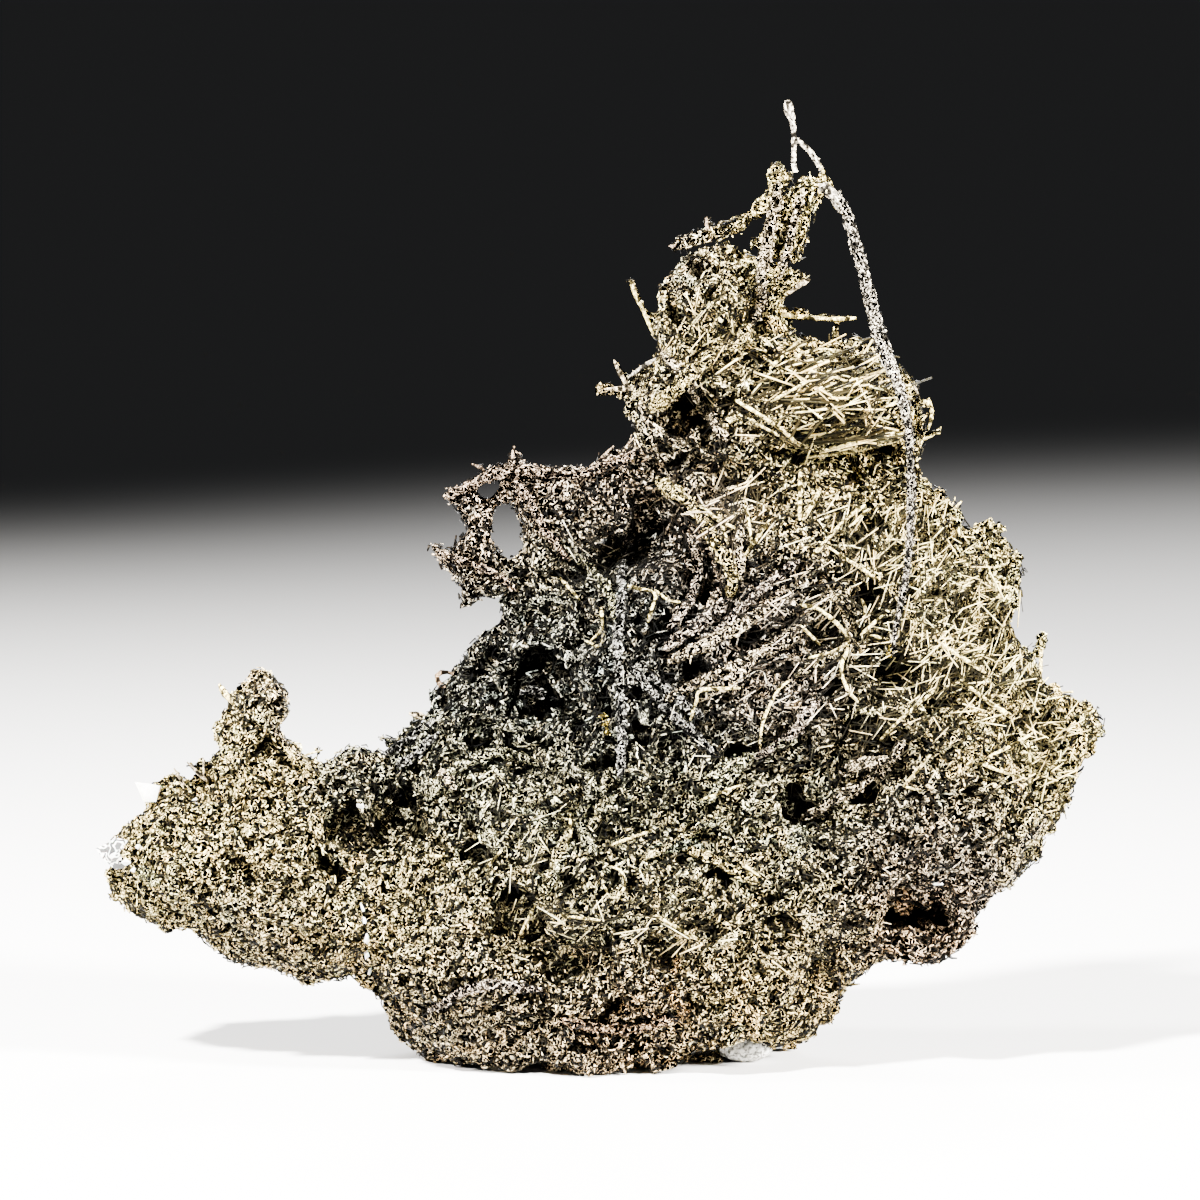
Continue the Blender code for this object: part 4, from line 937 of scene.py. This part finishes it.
def crust_material(name, period, width, gap_shade=0.0, gain=1.2, metallic=0.0):
    """A mat of fine wires that twist a period apart: the points' colour on them, and painted shade, near
    black, in the gaps between.
    """
    look = Look(name)
    tint = look.tarnish()
    twists = look.noise(1.0 / period, 0.0, 0.6)
    # Painted shade in the gaps between the twisting lines
    raised = look.ramp(twists, (0.5 - 1.6 * width, gap_shade), (0.5 - width, 1.0),
                       (0.5 + width, 1.0), (0.5 + 1.6 * width, gap_shade))
    patch = look.noise(0.6 / period, 1.0, 0.8)
    each = look.ramp(patch, (0.42, 0.02 * gain), (0.54, gain))
    look.feed("Base Color", look.times(look.times(tint, raised), each))
    look.fix("Roughness", 0.7)
    look.fix("Specular IOR Level", 0.0)
    look.fix("Metallic", metallic)
    look.relief(raised, 0.4 * period)
    return look.material


def calcite_material(name, veined):
    """White calcite: milky, with faint cream stains, cleavage lines and, if veined, dark wires."""
    look = Look(name)
    stain = look.noise(700.0, 4.0, 0.6)
    colour = look.ramp(stain, (0.35, (0.72, 0.68, 0.60)), (0.55, (0.88, 0.87, 0.84)),
                       (0.75, (0.95, 0.95, 0.94)))
    if veined:
        veins = look.noise(1100.0, 1.0, 0.8)
        colour = look.times(colour, look.ramp(veins, (0.42, 0.02), (0.46, 1.0), (0.52, 1.0), (0.56, 0.05)))
    look.feed("Base Color", colour)
    look.feed("Roughness", look.ramp(stain, (0.3, 0.5), (0.7, 0.22)))
    look.fix("Subsurface Weight", 0.15)
    look.fix("Subsurface Scale", 0.001)
    look.relief(look.noise(2200.0, 2.0, 1.5), 0.0001)
    return look.material


def pebble_material():
    """Grey-white stone with dark specks."""
    look = Look("grey_stone")
    speck = look.noise(2400.0, 5.0, 0.8)
    look.feed("Base Color", look.ramp(speck, (0.38, (0.06, 0.06, 0.05)), (0.46, (0.30, 0.29, 0.25)),
                                      (0.58, (0.72, 0.71, 0.66)), (0.72, (0.90, 0.90, 0.86))))
    look.feed("Roughness", look.ramp(speck, (0.3, 0.7), (0.7, 0.35)))
    look.relief(speck, 0.00025)
    return look.material


WIRE_SILVER = silver_material("wire_silver", metallic=0.4, rough=0.48, grain_scale=3000.0,
                              cut=0.52, edge=0.03, low=0.02, high=1.35)
NEEDLE_SILVER = silver_material("needle_silver", metallic=0.5, rough=0.42, grain_scale=1800.0,
                                cut=0.50, edge=0.12, low=0.45, high=1.25)
CRUST_SILVER = crust_material("crust_silver", period=0.00040, width=0.042)
ROPE_SILVER = crust_material("rope_silver", period=0.00036, width=0.034, gain=1.1)
BRIGHT_SILVER = crust_material("bright_silver", period=0.00042, width=0.065, gap_shade=0.2,
                               gain=1.1, metallic=0.3)
STRAND_SILVER = crust_material("strand_silver", period=0.00034, width=0.040)


# The crusts

Crust = namedtuple("Crust", "piece solids voxel swell inset relief clump seed slot")
CRUSTS = (
    Crust("matted_crust", ("main_mass", "left_lobe", "tower"), voxel=0.50, swell=0.22, inset=0.45,
          relief=1.0, clump=1.9, seed=41, slot="silver"),
    Crust("arch_crust", ("left_arch",), voxel=0.28, swell=0.10, inset=0.15,
          relief=0.5, clump=1.3, seed=59, slot="tarnished_silver"),
    Crust("column_crust", ("crest_column",), voxel=0.22, swell=0.10, inset=0.10,
          relief=0.30, clump=1.0, seed=61, slot="tarnished_silver"),
    Crust("branch_crust", ("crest_branch",), voxel=0.18, swell=0.06, inset=0.06,
          relief=0.15, clump=0.9, seed=67, slot="tarnished_silver"),
    Crust("strand_crust", ("long_strand",), voxel=0.18, swell=0.04, inset=0.10,
          relief=0.12, clump=0.8, seed=71, slot="silver"),
)
BRIDGE_STEP = 8.0
BRIDGE_DEPTH = 0.85
BRIDGE_SIDES = 10


def bridge(width, reach, path, tree):
    """A swelling along a groove, sunk between the limbs on its two sides."""
    radius = 0.5 * width * PIXEL
    line = []
    for pixel in curve_through([(*pixel, 0.0) for pixel in path], BRIDGE_STEP)[:, :2]:
        sides = [seen_place(tree, pixel + np.array((step, 0.0))) for step in (-reach, reach)]
        line.append(np.mean(sides, axis=0) - TOWARD_CAMERA * BRIDGE_DEPTH * radius)
    return rope_surface(np.array(line), toward_camera(line), np.full(len(line), radius), BRIDGE_SIDES)


solid_tree = nodes_tree(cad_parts, 1.0 / MM)
INSIDE = inside_outline(solid_tree)
bridges = [bridge(*groove, solid_tree) for groove in BRIDGES]
surfaces = {}
for name, nodes, *settings, _ in CRUSTS:
    surfaces[name] = make_crust(nodes, *settings, bridges if "left_lobe" in nodes else ())
strand_points, strand_triangles, _ = surfaces.pop("strand_crust")
mat = surfaces["matted_crust"][:2]
form = joined([surface[:2] for surface in surfaces.values()])
form_tree = tree_of(*form)


# The ropes

ROPE_SIDES = 6
ROPE_STEP = 0.7
BESIDE_ROPE = 1.0
# The ropes that creep over the whole form: how far apart, how long, how thick and how they go
CREEP_CELL = 5.2
CREEP_LENGTHS = (4.0, 13.0)
CREEP_RADII = (0.32, 0.62)
CREEP_STEP = 0.75
CREEP_WANDER = 0.16
CREEP_RISE = 0.2
FEWEST_POINTS = 4


def make_ropes(lines, rough=0.0):
    """Ropes along paths: the surface, the way each point's rope runs and each point's tarnish."""
    parts, ahead, tints = [], [], []
    for line, outs, radius, tint in lines:
        radii = radius * rounded_ends(line, -1.5, 2.0) * (1.0 + 0.3 * lumps(line, 1.2, 15))
        points, triangles = rope_surface(line, outs, radii, ROPE_SIDES)
        away = unit(points - line.repeat(ROPE_SIDES, axis=0))
        points = points + away * (rough * radii.repeat(ROPE_SIDES) * lumps(points, 0.45, 17))[:, None]
        points[:, 2] = np.maximum(points[:, 2], FLOOR_CLEARANCE)
        parts.append((points, triangles))
        ahead.append(np.repeat(unit(np.gradient(line, axis=0)), ROPE_SIDES, axis=0))
        tints.append(np.tile(tint, (len(line) * ROPE_SIDES, 1)))
    return joined(parts), np.concatenate(ahead), np.concatenate(tints)


def seen_rope(width, tint, path):
    """A rope of the photographed side, laid on the form."""
    radius = 0.5 * width * PIXEL
    line = laid_path(form_tree, path, ROPE_STEP, 0.6 * radius)
    return line, toward_camera(line), radius, tint


def crawling_ropes(near_rope):
    """Ropes that creep over the whole form, clear of the others."""
    spots, facing, _ = scattered(*mat, CREEP_CELL)
    for spot, head in zip(spots, headings(spots, facing, 0.6)):
        length = scatter.uniform(*CREEP_LENGTHS)
        line = crawled_path(form_tree, spot, head, length, CREEP_STEP, CREEP_WANDER)
        clear = off_openings(line).all() and near_rope.find_nearest(Vector(spot), BESIDE_ROPE)[0] is None
        if len(line) > FEWEST_POINTS and clear:
            _, outs = nearest(form_tree, line)
            radius = scatter.uniform(*CREEP_RADII)
            yield line + outs * CREEP_RISE, outs, radius, tarnish(spot[None], 0.1)[0]


def painted_shade_on_form(near_rope):
    """The painted shade on the form at each of its points: in its pits, in the hollows and beside ropes."""
    found = (near_rope.find_nearest(Vector(p), BESIDE_ROPE)[3] for p in form[0])
    beside = np.array([BESIDE_ROPE if gap is None else gap for gap in found])
    # Painted shadow in a strip beside the ropes, away from the outline
    shaded = 0.9 * smooth(1.0 - beside / BESIDE_ROPE, 0.0, 0.6) * on_map(INSIDE, form[0])
    return np.maximum(np.concatenate([dark for *_, dark in surfaces.values()]), shaded)


rope_lines = [seen_rope(*rope) for rope in ROPES]
near_rope = tree_of(*make_ropes(rope_lines)[0])
form_painted_shade = painted_shade_on_form(near_rope)
rope_lines.extend(crawling_ropes(near_rope))
ropes, rope_ahead, rope_tint = make_ropes(rope_lines, 0.5)
whole_tree = tree_of(*joined((form, ropes)))

first = 0
for crust in CRUSTS[:-1]:
    points, triangles, _ = surfaces[crust.piece]
    dark = form_painted_shade[first:first + len(points)]
    first += len(points)
    # Painted shade: the crust is darker in its hollows, pits and creases and beside the ropes, and darker
    # under the needle fields
    fill = (0.85 + 0.15 * granular(points) - 0.84 * straw(points)) * (1.0 - 0.98 * dark)
    colours = within_one(two_tone(tarnish(points), 0.42) * fill[:, None])
    make_piece(crust.piece, points, triangles, colours, CRUST_SILVER, crust.slot, *crust.solids)


# Twigs on the outline, and the ropes' piece

TWIG_DEPTH = -0.4
TWIG_STEP = 0.5
TWIG_HEAD_RINGS = 4


def twig(width, tint, head, path):
    """A twig in the plane of the outline, with a head of its own width."""
    line = curve_through([at_depth(pixel, TWIG_DEPTH) for pixel in path], TWIG_STEP)
    width = np.where(np.arange(len(line)) > len(line) - TWIG_HEAD_RINGS, head, width)
    return line, toward_camera(line), 0.5 * PIXEL * width, tint


twigs, _, twig_tint = make_ropes([twig(*row) for row in TWIGS])
make_piece("edge_twigs", *twigs, twig_tint, BRIGHT_SILVER, "silver")
own_shade = 0.8 * np.exp(0.3 * lumps(ropes[0], 1.0, 23))[:, None]
make_piece("ropes_of_grains", *ropes, within_one(rope_tint * own_shade), ROPE_SILVER, "silver")


# The long strand

# How its brightness changes down its length: pixel row and brightness
STRAND_ROWS = (190, 250, 300, 370, 450, 640)
STRAND_SHADES = (0.95, 0.84, 0.92, 1.7, 0.55, 0.45)
SLICE = 0.8
STRAND_BERTH = 9.0
BEHIND_STRAND = 0.4

strand_shade = np.interp(pixels(strand_points)[:, 1], STRAND_ROWS, STRAND_SHADES)
strand_tints = strand_shade[:, None] * np.array(PEARL)
make_piece("strand_crust", strand_points, strand_triangles, within_one(strand_tints),
           STRAND_SILVER, "silver", "long_strand")
# The strand's spine: the middle of each slice of it
slices = np.floor(strand_points[:, 2] / SLICE).astype(int)
spine = np.array([strand_points[slices == level].mean(axis=0) for level in np.unique(slices)])
spine_pixels, spine_depth = pixels(spine), spine @ TOWARD_CAMERA
nearest_slice = np.abs(strand_points[:, None, 2] - spine[None, :, 2]).argmin(axis=1)
strand_ahead = unit(np.gradient(spine, axis=0))[nearest_slice]


def clear_of_strand(points):
    """Whether points leave the camera's view of the long strand free."""
    gap = np.linalg.norm(pixels(points)[:, None] - spine_pixels[None], axis=2)
    at = gap.argmin(axis=1)
    behind = points @ TOWARD_CAMERA < spine_depth[at] - BEHIND_STRAND
    return (gap[np.arange(len(points)), at] > STRAND_BERTH) | behind


# The wires

FRONT_LIMIT = 0.25
OFF_FLOOR = 0.12
SHORT_RINGS = 3
LONG_RINGS = 5
DARK_SHARE = 0.60
GRAIN_DARK_SHARE = 0.35
GRAIN_LENGTHS = (0.4, 1.0)
GRAIN_STRAY = 0.6
GRAIN_SHADE = 0.2
GRAIN_PROBE = 0.25
BURIED = 0.12
# The pieces that the wires are shared out to, by height, and where one ends
BANDS = ("foot_wires", "lower_wires", "middle_wires", "upper_wires", "top_wires")
BAND_TILT = 0.12
BAND_EDGES = (11.0, 21.0, 32.0, 46.0)


def add_wires(tree, spots, facing, heading, tints, dark, length, thickness, rise, rings, share=DARK_SHARE):
    """Short wires at spots: the spots, the surface and a colour for each wire."""
    points, triangles = short_wires(tree, spots, facing, heading, length, thickness, rise, rings)
    # Painted light and shade: wires that rise higher off the mat are lighter, and wires in the form's
    # painted shade are darker
    lit = (0.55 + 1.2 * np.clip(rise, 0.0, 0.4)) * (1.0 - 0.9 * dark)
    return spots, points, triangles, within_one(two_tone(tints, share) * lit[:, None])


def wires_on_form(front, cell, lengths, widths, highest, rings):
    """Short wires spread over the front or the back of the form."""
    spots, facing, at = scattered(*form, cell)
    here = form_painted_shade[form[1][at, 0]]
    cover = smooth(here, 0.1, 0.8) if rings == SHORT_RINGS else 0.4 * here
    keep = (scatter.random(len(spots)) > cover) & (spots[:, 2] > OFF_FLOOR)
    keep &= (facing[:, 1] < FRONT_LIMIT) == front
    keep &= clear_of_strand(spots) & off_openings(spots)
    if rings > SHORT_RINGS:
        keep &= scatter.random(len(spots)) > 1.2 * granular(spots)
    keep &= scatter.random(len(spots)) > 0.75 * straw(spots)
    spots, facing, here = spots[keep], facing[keep], here[keep]
    if rings > SHORT_RINGS:
        here = 0.4 * here
    # Painted shade under the needles: wires in the needle fields are darker
    here = np.maximum(here, 0.5 * straw(spots))
    heading = headings(spots, facing)
    length = scatter.uniform(*lengths, len(spots)) * (1.0 - 0.45 * granular(spots))
    thickness = scatter.uniform(*widths, len(spots))
    rise = scatter.uniform(0.0, highest, len(spots))
    return add_wires(form_tree, spots, facing, heading, tarnish(spots), here, length, thickness,
                     rise, rings)


def grains_along(surface, ahead, tints, tree, cell, widths, highest):
    """Grains along ropes: they mostly follow the way the rope runs."""
    spots, facing, at = scattered(*surface, cell)
    outside = np.array([whole_tree.find_nearest(Vector(p + GRAIN_PROBE * n))[3]
                        for p, n in zip(spots, facing)])
    keep = (outside > BURIED) & (spots[:, 2] > OFF_FLOOR) & off_openings(spots)
    spots, facing, at = spots[keep], facing[keep], surface[1][at[keep], 0]
    count = len(spots)
    stray = np.cross(facing, ahead[at]) * scatter.normal(0.0, GRAIN_STRAY, (count, 1))
    heading = unit(ahead[at] + stray)
    heading = unit(heading - facing * np.sum(heading * facing, axis=1, keepdims=True))
    tints = tints[at] * np.exp(GRAIN_SHADE * scatter.normal(0.0, 1.0, (count, 1)))
    length = scatter.uniform(*GRAIN_LENGTHS, count)
    thickness = scatter.uniform(*widths, count)
    rise = scatter.uniform(0.0, highest, count)
    return add_wires(tree, spots, facing, heading, tints, np.zeros(count), length, thickness, rise,
                     SHORT_RINGS, GRAIN_DARK_SHARE)


def in_bands(batches):
    """The wires of each band of height, gathered from batches of wires."""
    gathered = {name: [] for name in BANDS}
    for spots, points, triangles, colours in batches:
        band = np.digitize(spots[:, 2] + BAND_TILT * spots[:, 0], BAND_EDGES)
        corners, faces = len(points) // len(spots), len(triangles) // len(spots)
        for index, name in enumerate(BANDS):
            rows = np.flatnonzero(band == index)[:, None]
            inside = (rows * corners + np.arange(corners)).ravel()
            renumber = np.full(len(points), -1)
            renumber[inside] = np.arange(len(inside))
            kept = renumber[triangles[(rows * faces + np.arange(faces)).ravel()]]
            gathered[name].append((points[inside], kept, colours[rows[:, 0]].repeat(corners, axis=0)))
    return gathered


def make_joined(name, parts, material):
    """Make one piece of parts that are points, triangles and colours."""
    colours = np.concatenate([part[2] for part in parts])
    make_piece(name, *joined([part[:2] for part in parts]), colours, material, "silver")


strand = (strand_points, strand_triangles)
batches = (
    wires_on_form(True, cell=0.72, lengths=(0.6, 1.6), widths=(0.18, 0.29), highest=0.40,
                  rings=SHORT_RINGS),
    wires_on_form(False, cell=1.00, lengths=(0.5, 1.6), widths=(0.20, 0.32), highest=0.40,
                  rings=SHORT_RINGS),
    wires_on_form(True, cell=2.40, lengths=(1.2, 2.6), widths=(0.16, 0.26), highest=0.60,
                  rings=LONG_RINGS),
    wires_on_form(False, cell=2.60, lengths=(1.0, 2.6), widths=(0.20, 0.30), highest=0.60,
                  rings=LONG_RINGS),
    grains_along(ropes, rope_ahead, rope_tint, whole_tree, cell=0.70, widths=(0.16, 0.27),
                 highest=0.25),
    grains_along(strand, strand_ahead, strand_tints, tree_of(*strand), cell=0.44,
                 widths=(0.13, 0.21), highest=0.12),
)
for name, parts in in_bands(batches).items():
    make_joined(name, parts, WIRE_SILVER)


# The needles

NEEDLE_OFF_FLOOR = 0.5
OVERHANGING = 0.12
NEEDLE_RISES = (0.1, 0.6)
NEEDLE_PLACES = (-0.4, 0.1, 0.6)
# Lengths and widths of a field's needles, as parts of the field's length, and their pitches
FIELD_LENGTHS = (0.4, 1.4)
FIELD_WIDTHS = (0.034, 0.058)
FIELD_PITCHES = (-6.0, 10.0)
# The needles of the other side, in mm and degrees
BACK_CELL = 3.2
BACK_LIMIT = 0.1
BACK_LENGTHS = (1.2, 3.6)
BACK_WIDTHS = (0.14, 0.24)
BACK_PITCHES = (-4.0, 10.0)


def add_needles(spots, facing, heading, lengths, widths, pitches, share):
    """Straight needles at spots, with their colours; each is kept off the strand at three places."""
    keep = (spots[:, 2] > NEEDLE_OFF_FLOOR) & clear_of_strand(spots)
    length = scatter.uniform(*lengths, len(spots))
    overhang = scatter.random(len(spots)) < OVERHANGING
    for end in NEEDLE_PLACES:
        places = spots + heading * (end * length)[:, None]
        keep &= clear_of_strand(places) & off_openings(places) & (overhang | (on_map(INSIDE, places) > 0.0))
    spots, facing, heading, length = spots[keep], facing[keep], heading[keep], length[keep]
    count = len(spots)
    rise = scatter.uniform(*NEEDLE_RISES, count)
    thickness = scatter.uniform(*widths, count)
    pitch = np.radians(scatter.uniform(*pitches, count))
    points, triangles = straight_needles(spots, facing, heading, length, thickness, rise, pitch)
    # Painted light: needles that stand higher off the mat are lighter
    shade = within_one(two_tone(tarnish(spots), share) * (1.0 + 0.7 * rise)[:, None])
    return points, triangles, shade.repeat(len(points) // count, axis=0)


def needle_field(pixel, spread, number, longest, turn, stray):
    """A field of needles of the photographed side."""
    found = []
    for offset in scatter.normal(0.0, 0.6, (number, 2)) * np.array(spread):
        hit = whole_tree.ray_cast(Vector(CAMERA_AT), Vector(sight(np.array(pixel) + offset)))
        if hit[0] is not None:
            found.append((hit[0], hit[1]))
    spots, outs = np.array(found, float).transpose(1, 0, 2)
    lean = unit(outs + 0.8 * TOWARD_CAMERA)
    bearing = np.radians(turn + scatter.normal(0.0, 0.5, len(spots)) * stray)
    heading = turned(lean, bearing) * either_way(len(spots))
    lengths, widths = (longest * np.array(parts) for parts in (FIELD_LENGTHS, FIELD_WIDTHS))
    return add_needles(spots, lean, heading, lengths, widths, FIELD_PITCHES, 0.70)


def back_needles():
    """Needles scattered over the other side."""
    spots, facing, _ = scattered(*mat, BACK_CELL)
    keep = (facing[:, 1] > BACK_LIMIT) & (scatter.random(len(spots)) > 1.2 * granular(spots))
    spots, facing = spots[keep], facing[keep]
    heading = headings(spots, facing)
    return add_needles(spots, facing, heading, BACK_LENGTHS, BACK_WIDTHS, BACK_PITCHES, 0.4)


make_joined("straight_needles", [needle_field(*field) for field in NEEDLE_FIELDS] + [back_needles()],
            NEEDLE_SILVER)


# Single wires and the top wire

SINGLE_STEP = 0.45
SINGLE_RISE = 0.35
TOP_WIRE_VOXEL = 0.11


def single_wire(width, path):
    """A lumpy wire of the photographed side, held off the mat."""
    radius = 0.5 * width * PIXEL
    line = laid_path(whole_tree, path, SINGLE_STEP, radius + SINGLE_RISE)
    radii = 0.85 * radius * rounded_ends(line, -2.5, 2.0) * (1.0 + 0.35 * lumps(line, 0.7, 19))
    points, triangles = rope_surface(line, toward_camera(line), radii, ROPE_SIDES)
    return points, triangles, np.tile(CREAM, (len(points), 1))


make_joined("single_wires", [single_wire(*wire) for wire in WIRES], BRIGHT_SILVER)
points, triangles = node_surface(("top_wire",), TOP_WIRE_VOXEL)
points = points + vertex_normals(points, triangles) * (0.06 * lumps(points, 0.7, 73) - 0.07)[:, None]
make_piece("top_wire_skin", points, triangles, np.tile(TOP_WIRE, (len(points), 1)),
           BRIGHT_SILVER, "silver", "top_wire")


# Minerals caught in the silver

# Corners of the fragments, as parts of the half sizes of their blocks
WEDGE = ((-0.6, -0.6, 0.9), (0.7, -1.0, 0.6), (0.8, 1.0, 0.4), (-0.4, 0.8, 0.8), (0.5, -0.7, -0.9),
         (0.4, 0.9, -0.9), (-0.2, -0.9, -0.8), (-0.3, 0.6, -0.6), (0.1, -1.0, 0.8))
PATCH = ((-1.0, -0.3, 0.3), (-0.1, -0.9, 1.0), (0.8, -1.0, 0.7), (1.0, -0.6, -0.1), (0.5, -1.0, -0.9),
         (-0.2, -0.7, -1.0), (-0.7, -0.6, -0.4), (0.9, 1.0, 0.5), (0.6, 1.0, -0.8), (-0.6, 0.9, 0.5),
         (-0.5, 0.8, -0.6))
CORNER_STRAY = 0.05
PEBBLE_VOXEL = 0.14

# Small white flecks: pixel, half width and half height in pixels
FLECKS = (
    ((938, 883), 6, 3), ((195, 802), 4, 6), ((104, 851), 4, 7), ((362, 908), 3, 6), ((364, 922), 3, 6),
    ((367, 938), 4, 7), ((367, 955), 3, 6), ((369, 970), 3, 6), ((361, 806), 6, 3), ((126, 862), 5, 4),
    ((138, 847), 4, 3), ((133, 870), 3, 3),
)
FLECK_CORNERS = 11
FLECK_RISE = 0.1


def add_fragment(shape, corners):
    """Add a fragment with flat facets that wraps its corners."""
    verts = [shape.verts.new(corner * MM) for corner in corners]
    found = bmesh.ops.convex_hull(shape, input=verts)
    loose = [item for item in found["geom_interior"] if isinstance(item, bmesh.types.BMVert)]
    bmesh.ops.delete(shape, geom=loose, context="VERTS")


def chip(node, corners, seed, material):
    """A broken cleavage fragment in the place of its block: flat facets that meet in sharp edges."""
    low, high = (np.array(corner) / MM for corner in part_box(node))
    own = np.random.default_rng(seed)
    reach = [np.array(corner) + own.uniform(-CORNER_STRAY, CORNER_STRAY, 3) for corner in corners]
    shape = bmesh.new()
    add_fragment(shape, (low + high) / 2 + np.clip(reach, -1.0, 1.0) * ((high - low) / 2))
    add_piece(mesh_of(shape, node + "_stone"), material, "calcite", node)


def flecks(material):
    """Small broken grains of calcite caught in the mat."""
    own = np.random.default_rng(11)
    shape = bmesh.new()
    for pixel, half_width, half_height in FLECKS:
        centre = seen_place(whole_tree, pixel) + TOWARD_CAMERA * FLECK_RISE
        size = np.array((half_width, half_width, half_height)) * PIXEL
        add_fragment(shape, centre + size * unit(own.normal(0.0, 1.0, (FLECK_CORNERS, 3))))
    add_piece(mesh_of(shape, "calcite_flecks"), material, "calcite")


CALCITE = calcite_material("calcite", False)
flecks(CALCITE)
chip("calcite_chip", WEDGE, 3, CALCITE)
chip("calcite_rim", PATCH, 8, calcite_material("veined_calcite", True))
points, triangles = node_surface(("base_pebble",), PEBBLE_VOXEL)
grit = 0.12 * lumps(points, 0.9, 79) + 0.06 * lumps(points, 0.35, 80)
grit *= smooth(points[:, 2], FLOOR_CLEARANCE, 0.4)
points = points + vertex_normals(points, triangles) * grit[:, None]
make_piece("pebble_stone", points, triangles, None, pebble_material(), "grey_stone", "base_pebble")


# The floor, the lights and the camera, in metres

FLOOR_REACH = 9.0
FLOOR_COLOUR = (0.82, 0.82, 0.82, 1.0)
MIDDLE = Vector((0.0, 0.0, 0.04))
CONE = math.radians(42.0)
SENSOR = 36.0
Lamp = namedtuple("Lamp", "name place softness watts colour")
LAMPS = (
    Lamp("key", (-0.35, -0.65, 0.75), softness=0.05, watts=720.0, colour=(1.0, 0.98, 0.95)),
    Lamp("right", (0.70, -0.45, 0.35), softness=0.08, watts=480.0, colour=(1.0, 0.97, 0.92)),
    Lamp("left", (-0.75, -0.05, 0.35), softness=0.08, watts=130.0, colour=(1.0, 0.97, 0.94)),
    Lamp("back", (0.15, 0.80, 0.60), softness=0.10, watts=60.0, colour=(0.97, 0.98, 1.0)),
)
SKY_COLOUR = (0.9, 0.92, 0.95, 1.0)
SKY_STRENGTH = 0.02


def make_floor():
    """A plain pale floor that reaches past the view."""
    mesh = bpy.data.meshes.new("floor")
    corners = [(x * FLOOR_REACH, y * FLOOR_REACH, 0) for x, y in ((-1, -1), (1, -1), (1, 1), (-1, 1))]
    mesh.from_pydata(corners, [], [(0, 1, 2, 3)])
    look = Look("pale_floor")
    look.fix("Base Color", FLOOR_COLOUR)
    look.fix("Roughness", 0.7)
    mesh.materials.append(look.material)
    floor = link_in("floor", mesh)


def soft_spot(name, place, softness, watts, colour):
    """A soft spotlight in a place, turned to the specimen."""
    light = bpy.data.lights.new(name, "SPOT")
    light.shadow_soft_size = softness
    light.spot_size = CONE
    light.spot_blend = 1.0
    light.energy = watts
    light.color = colour
    lamp = link_in(name, light)
    lamp.location = place
    lamp.rotation_euler = (MIDDLE - Vector(place)).to_track_quat("-Z", "Y").to_euler()


def make_sky():
    """A faint even light from all round."""
    sky = bpy.data.worlds.new("studio")
    bpy.context.scene.world = sky
    sky.use_nodes = True
    background = sky.node_tree.nodes["Background"]
    background.inputs["Color"].default_value = SKY_COLOUR
    background.inputs["Strength"].default_value = SKY_STRENGTH


def make_camera():
    """The camera in the place of the photograph's."""
    lens = bpy.data.cameras.new("camera")
    lens.sensor_width = SENSOR
    lens.lens = SENSOR * CAMERA_DISTANCE / (2.0 * MIDDLE_PIXEL * PIXEL)
    lens.clip_start, lens.clip_end = 0.05, 30.0
    camera = link_in("camera", lens)
    camera.location = Vector(CAMERA_AT) * MM
    camera.rotation_euler = Vector(-TOWARD_CAMERA).to_track_quat("-Z", "Y").to_euler()
    bpy.context.scene.camera = camera


make_floor()
for lamp in LAMPS:
    soft_spot(*lamp)
make_sky()
make_camera()
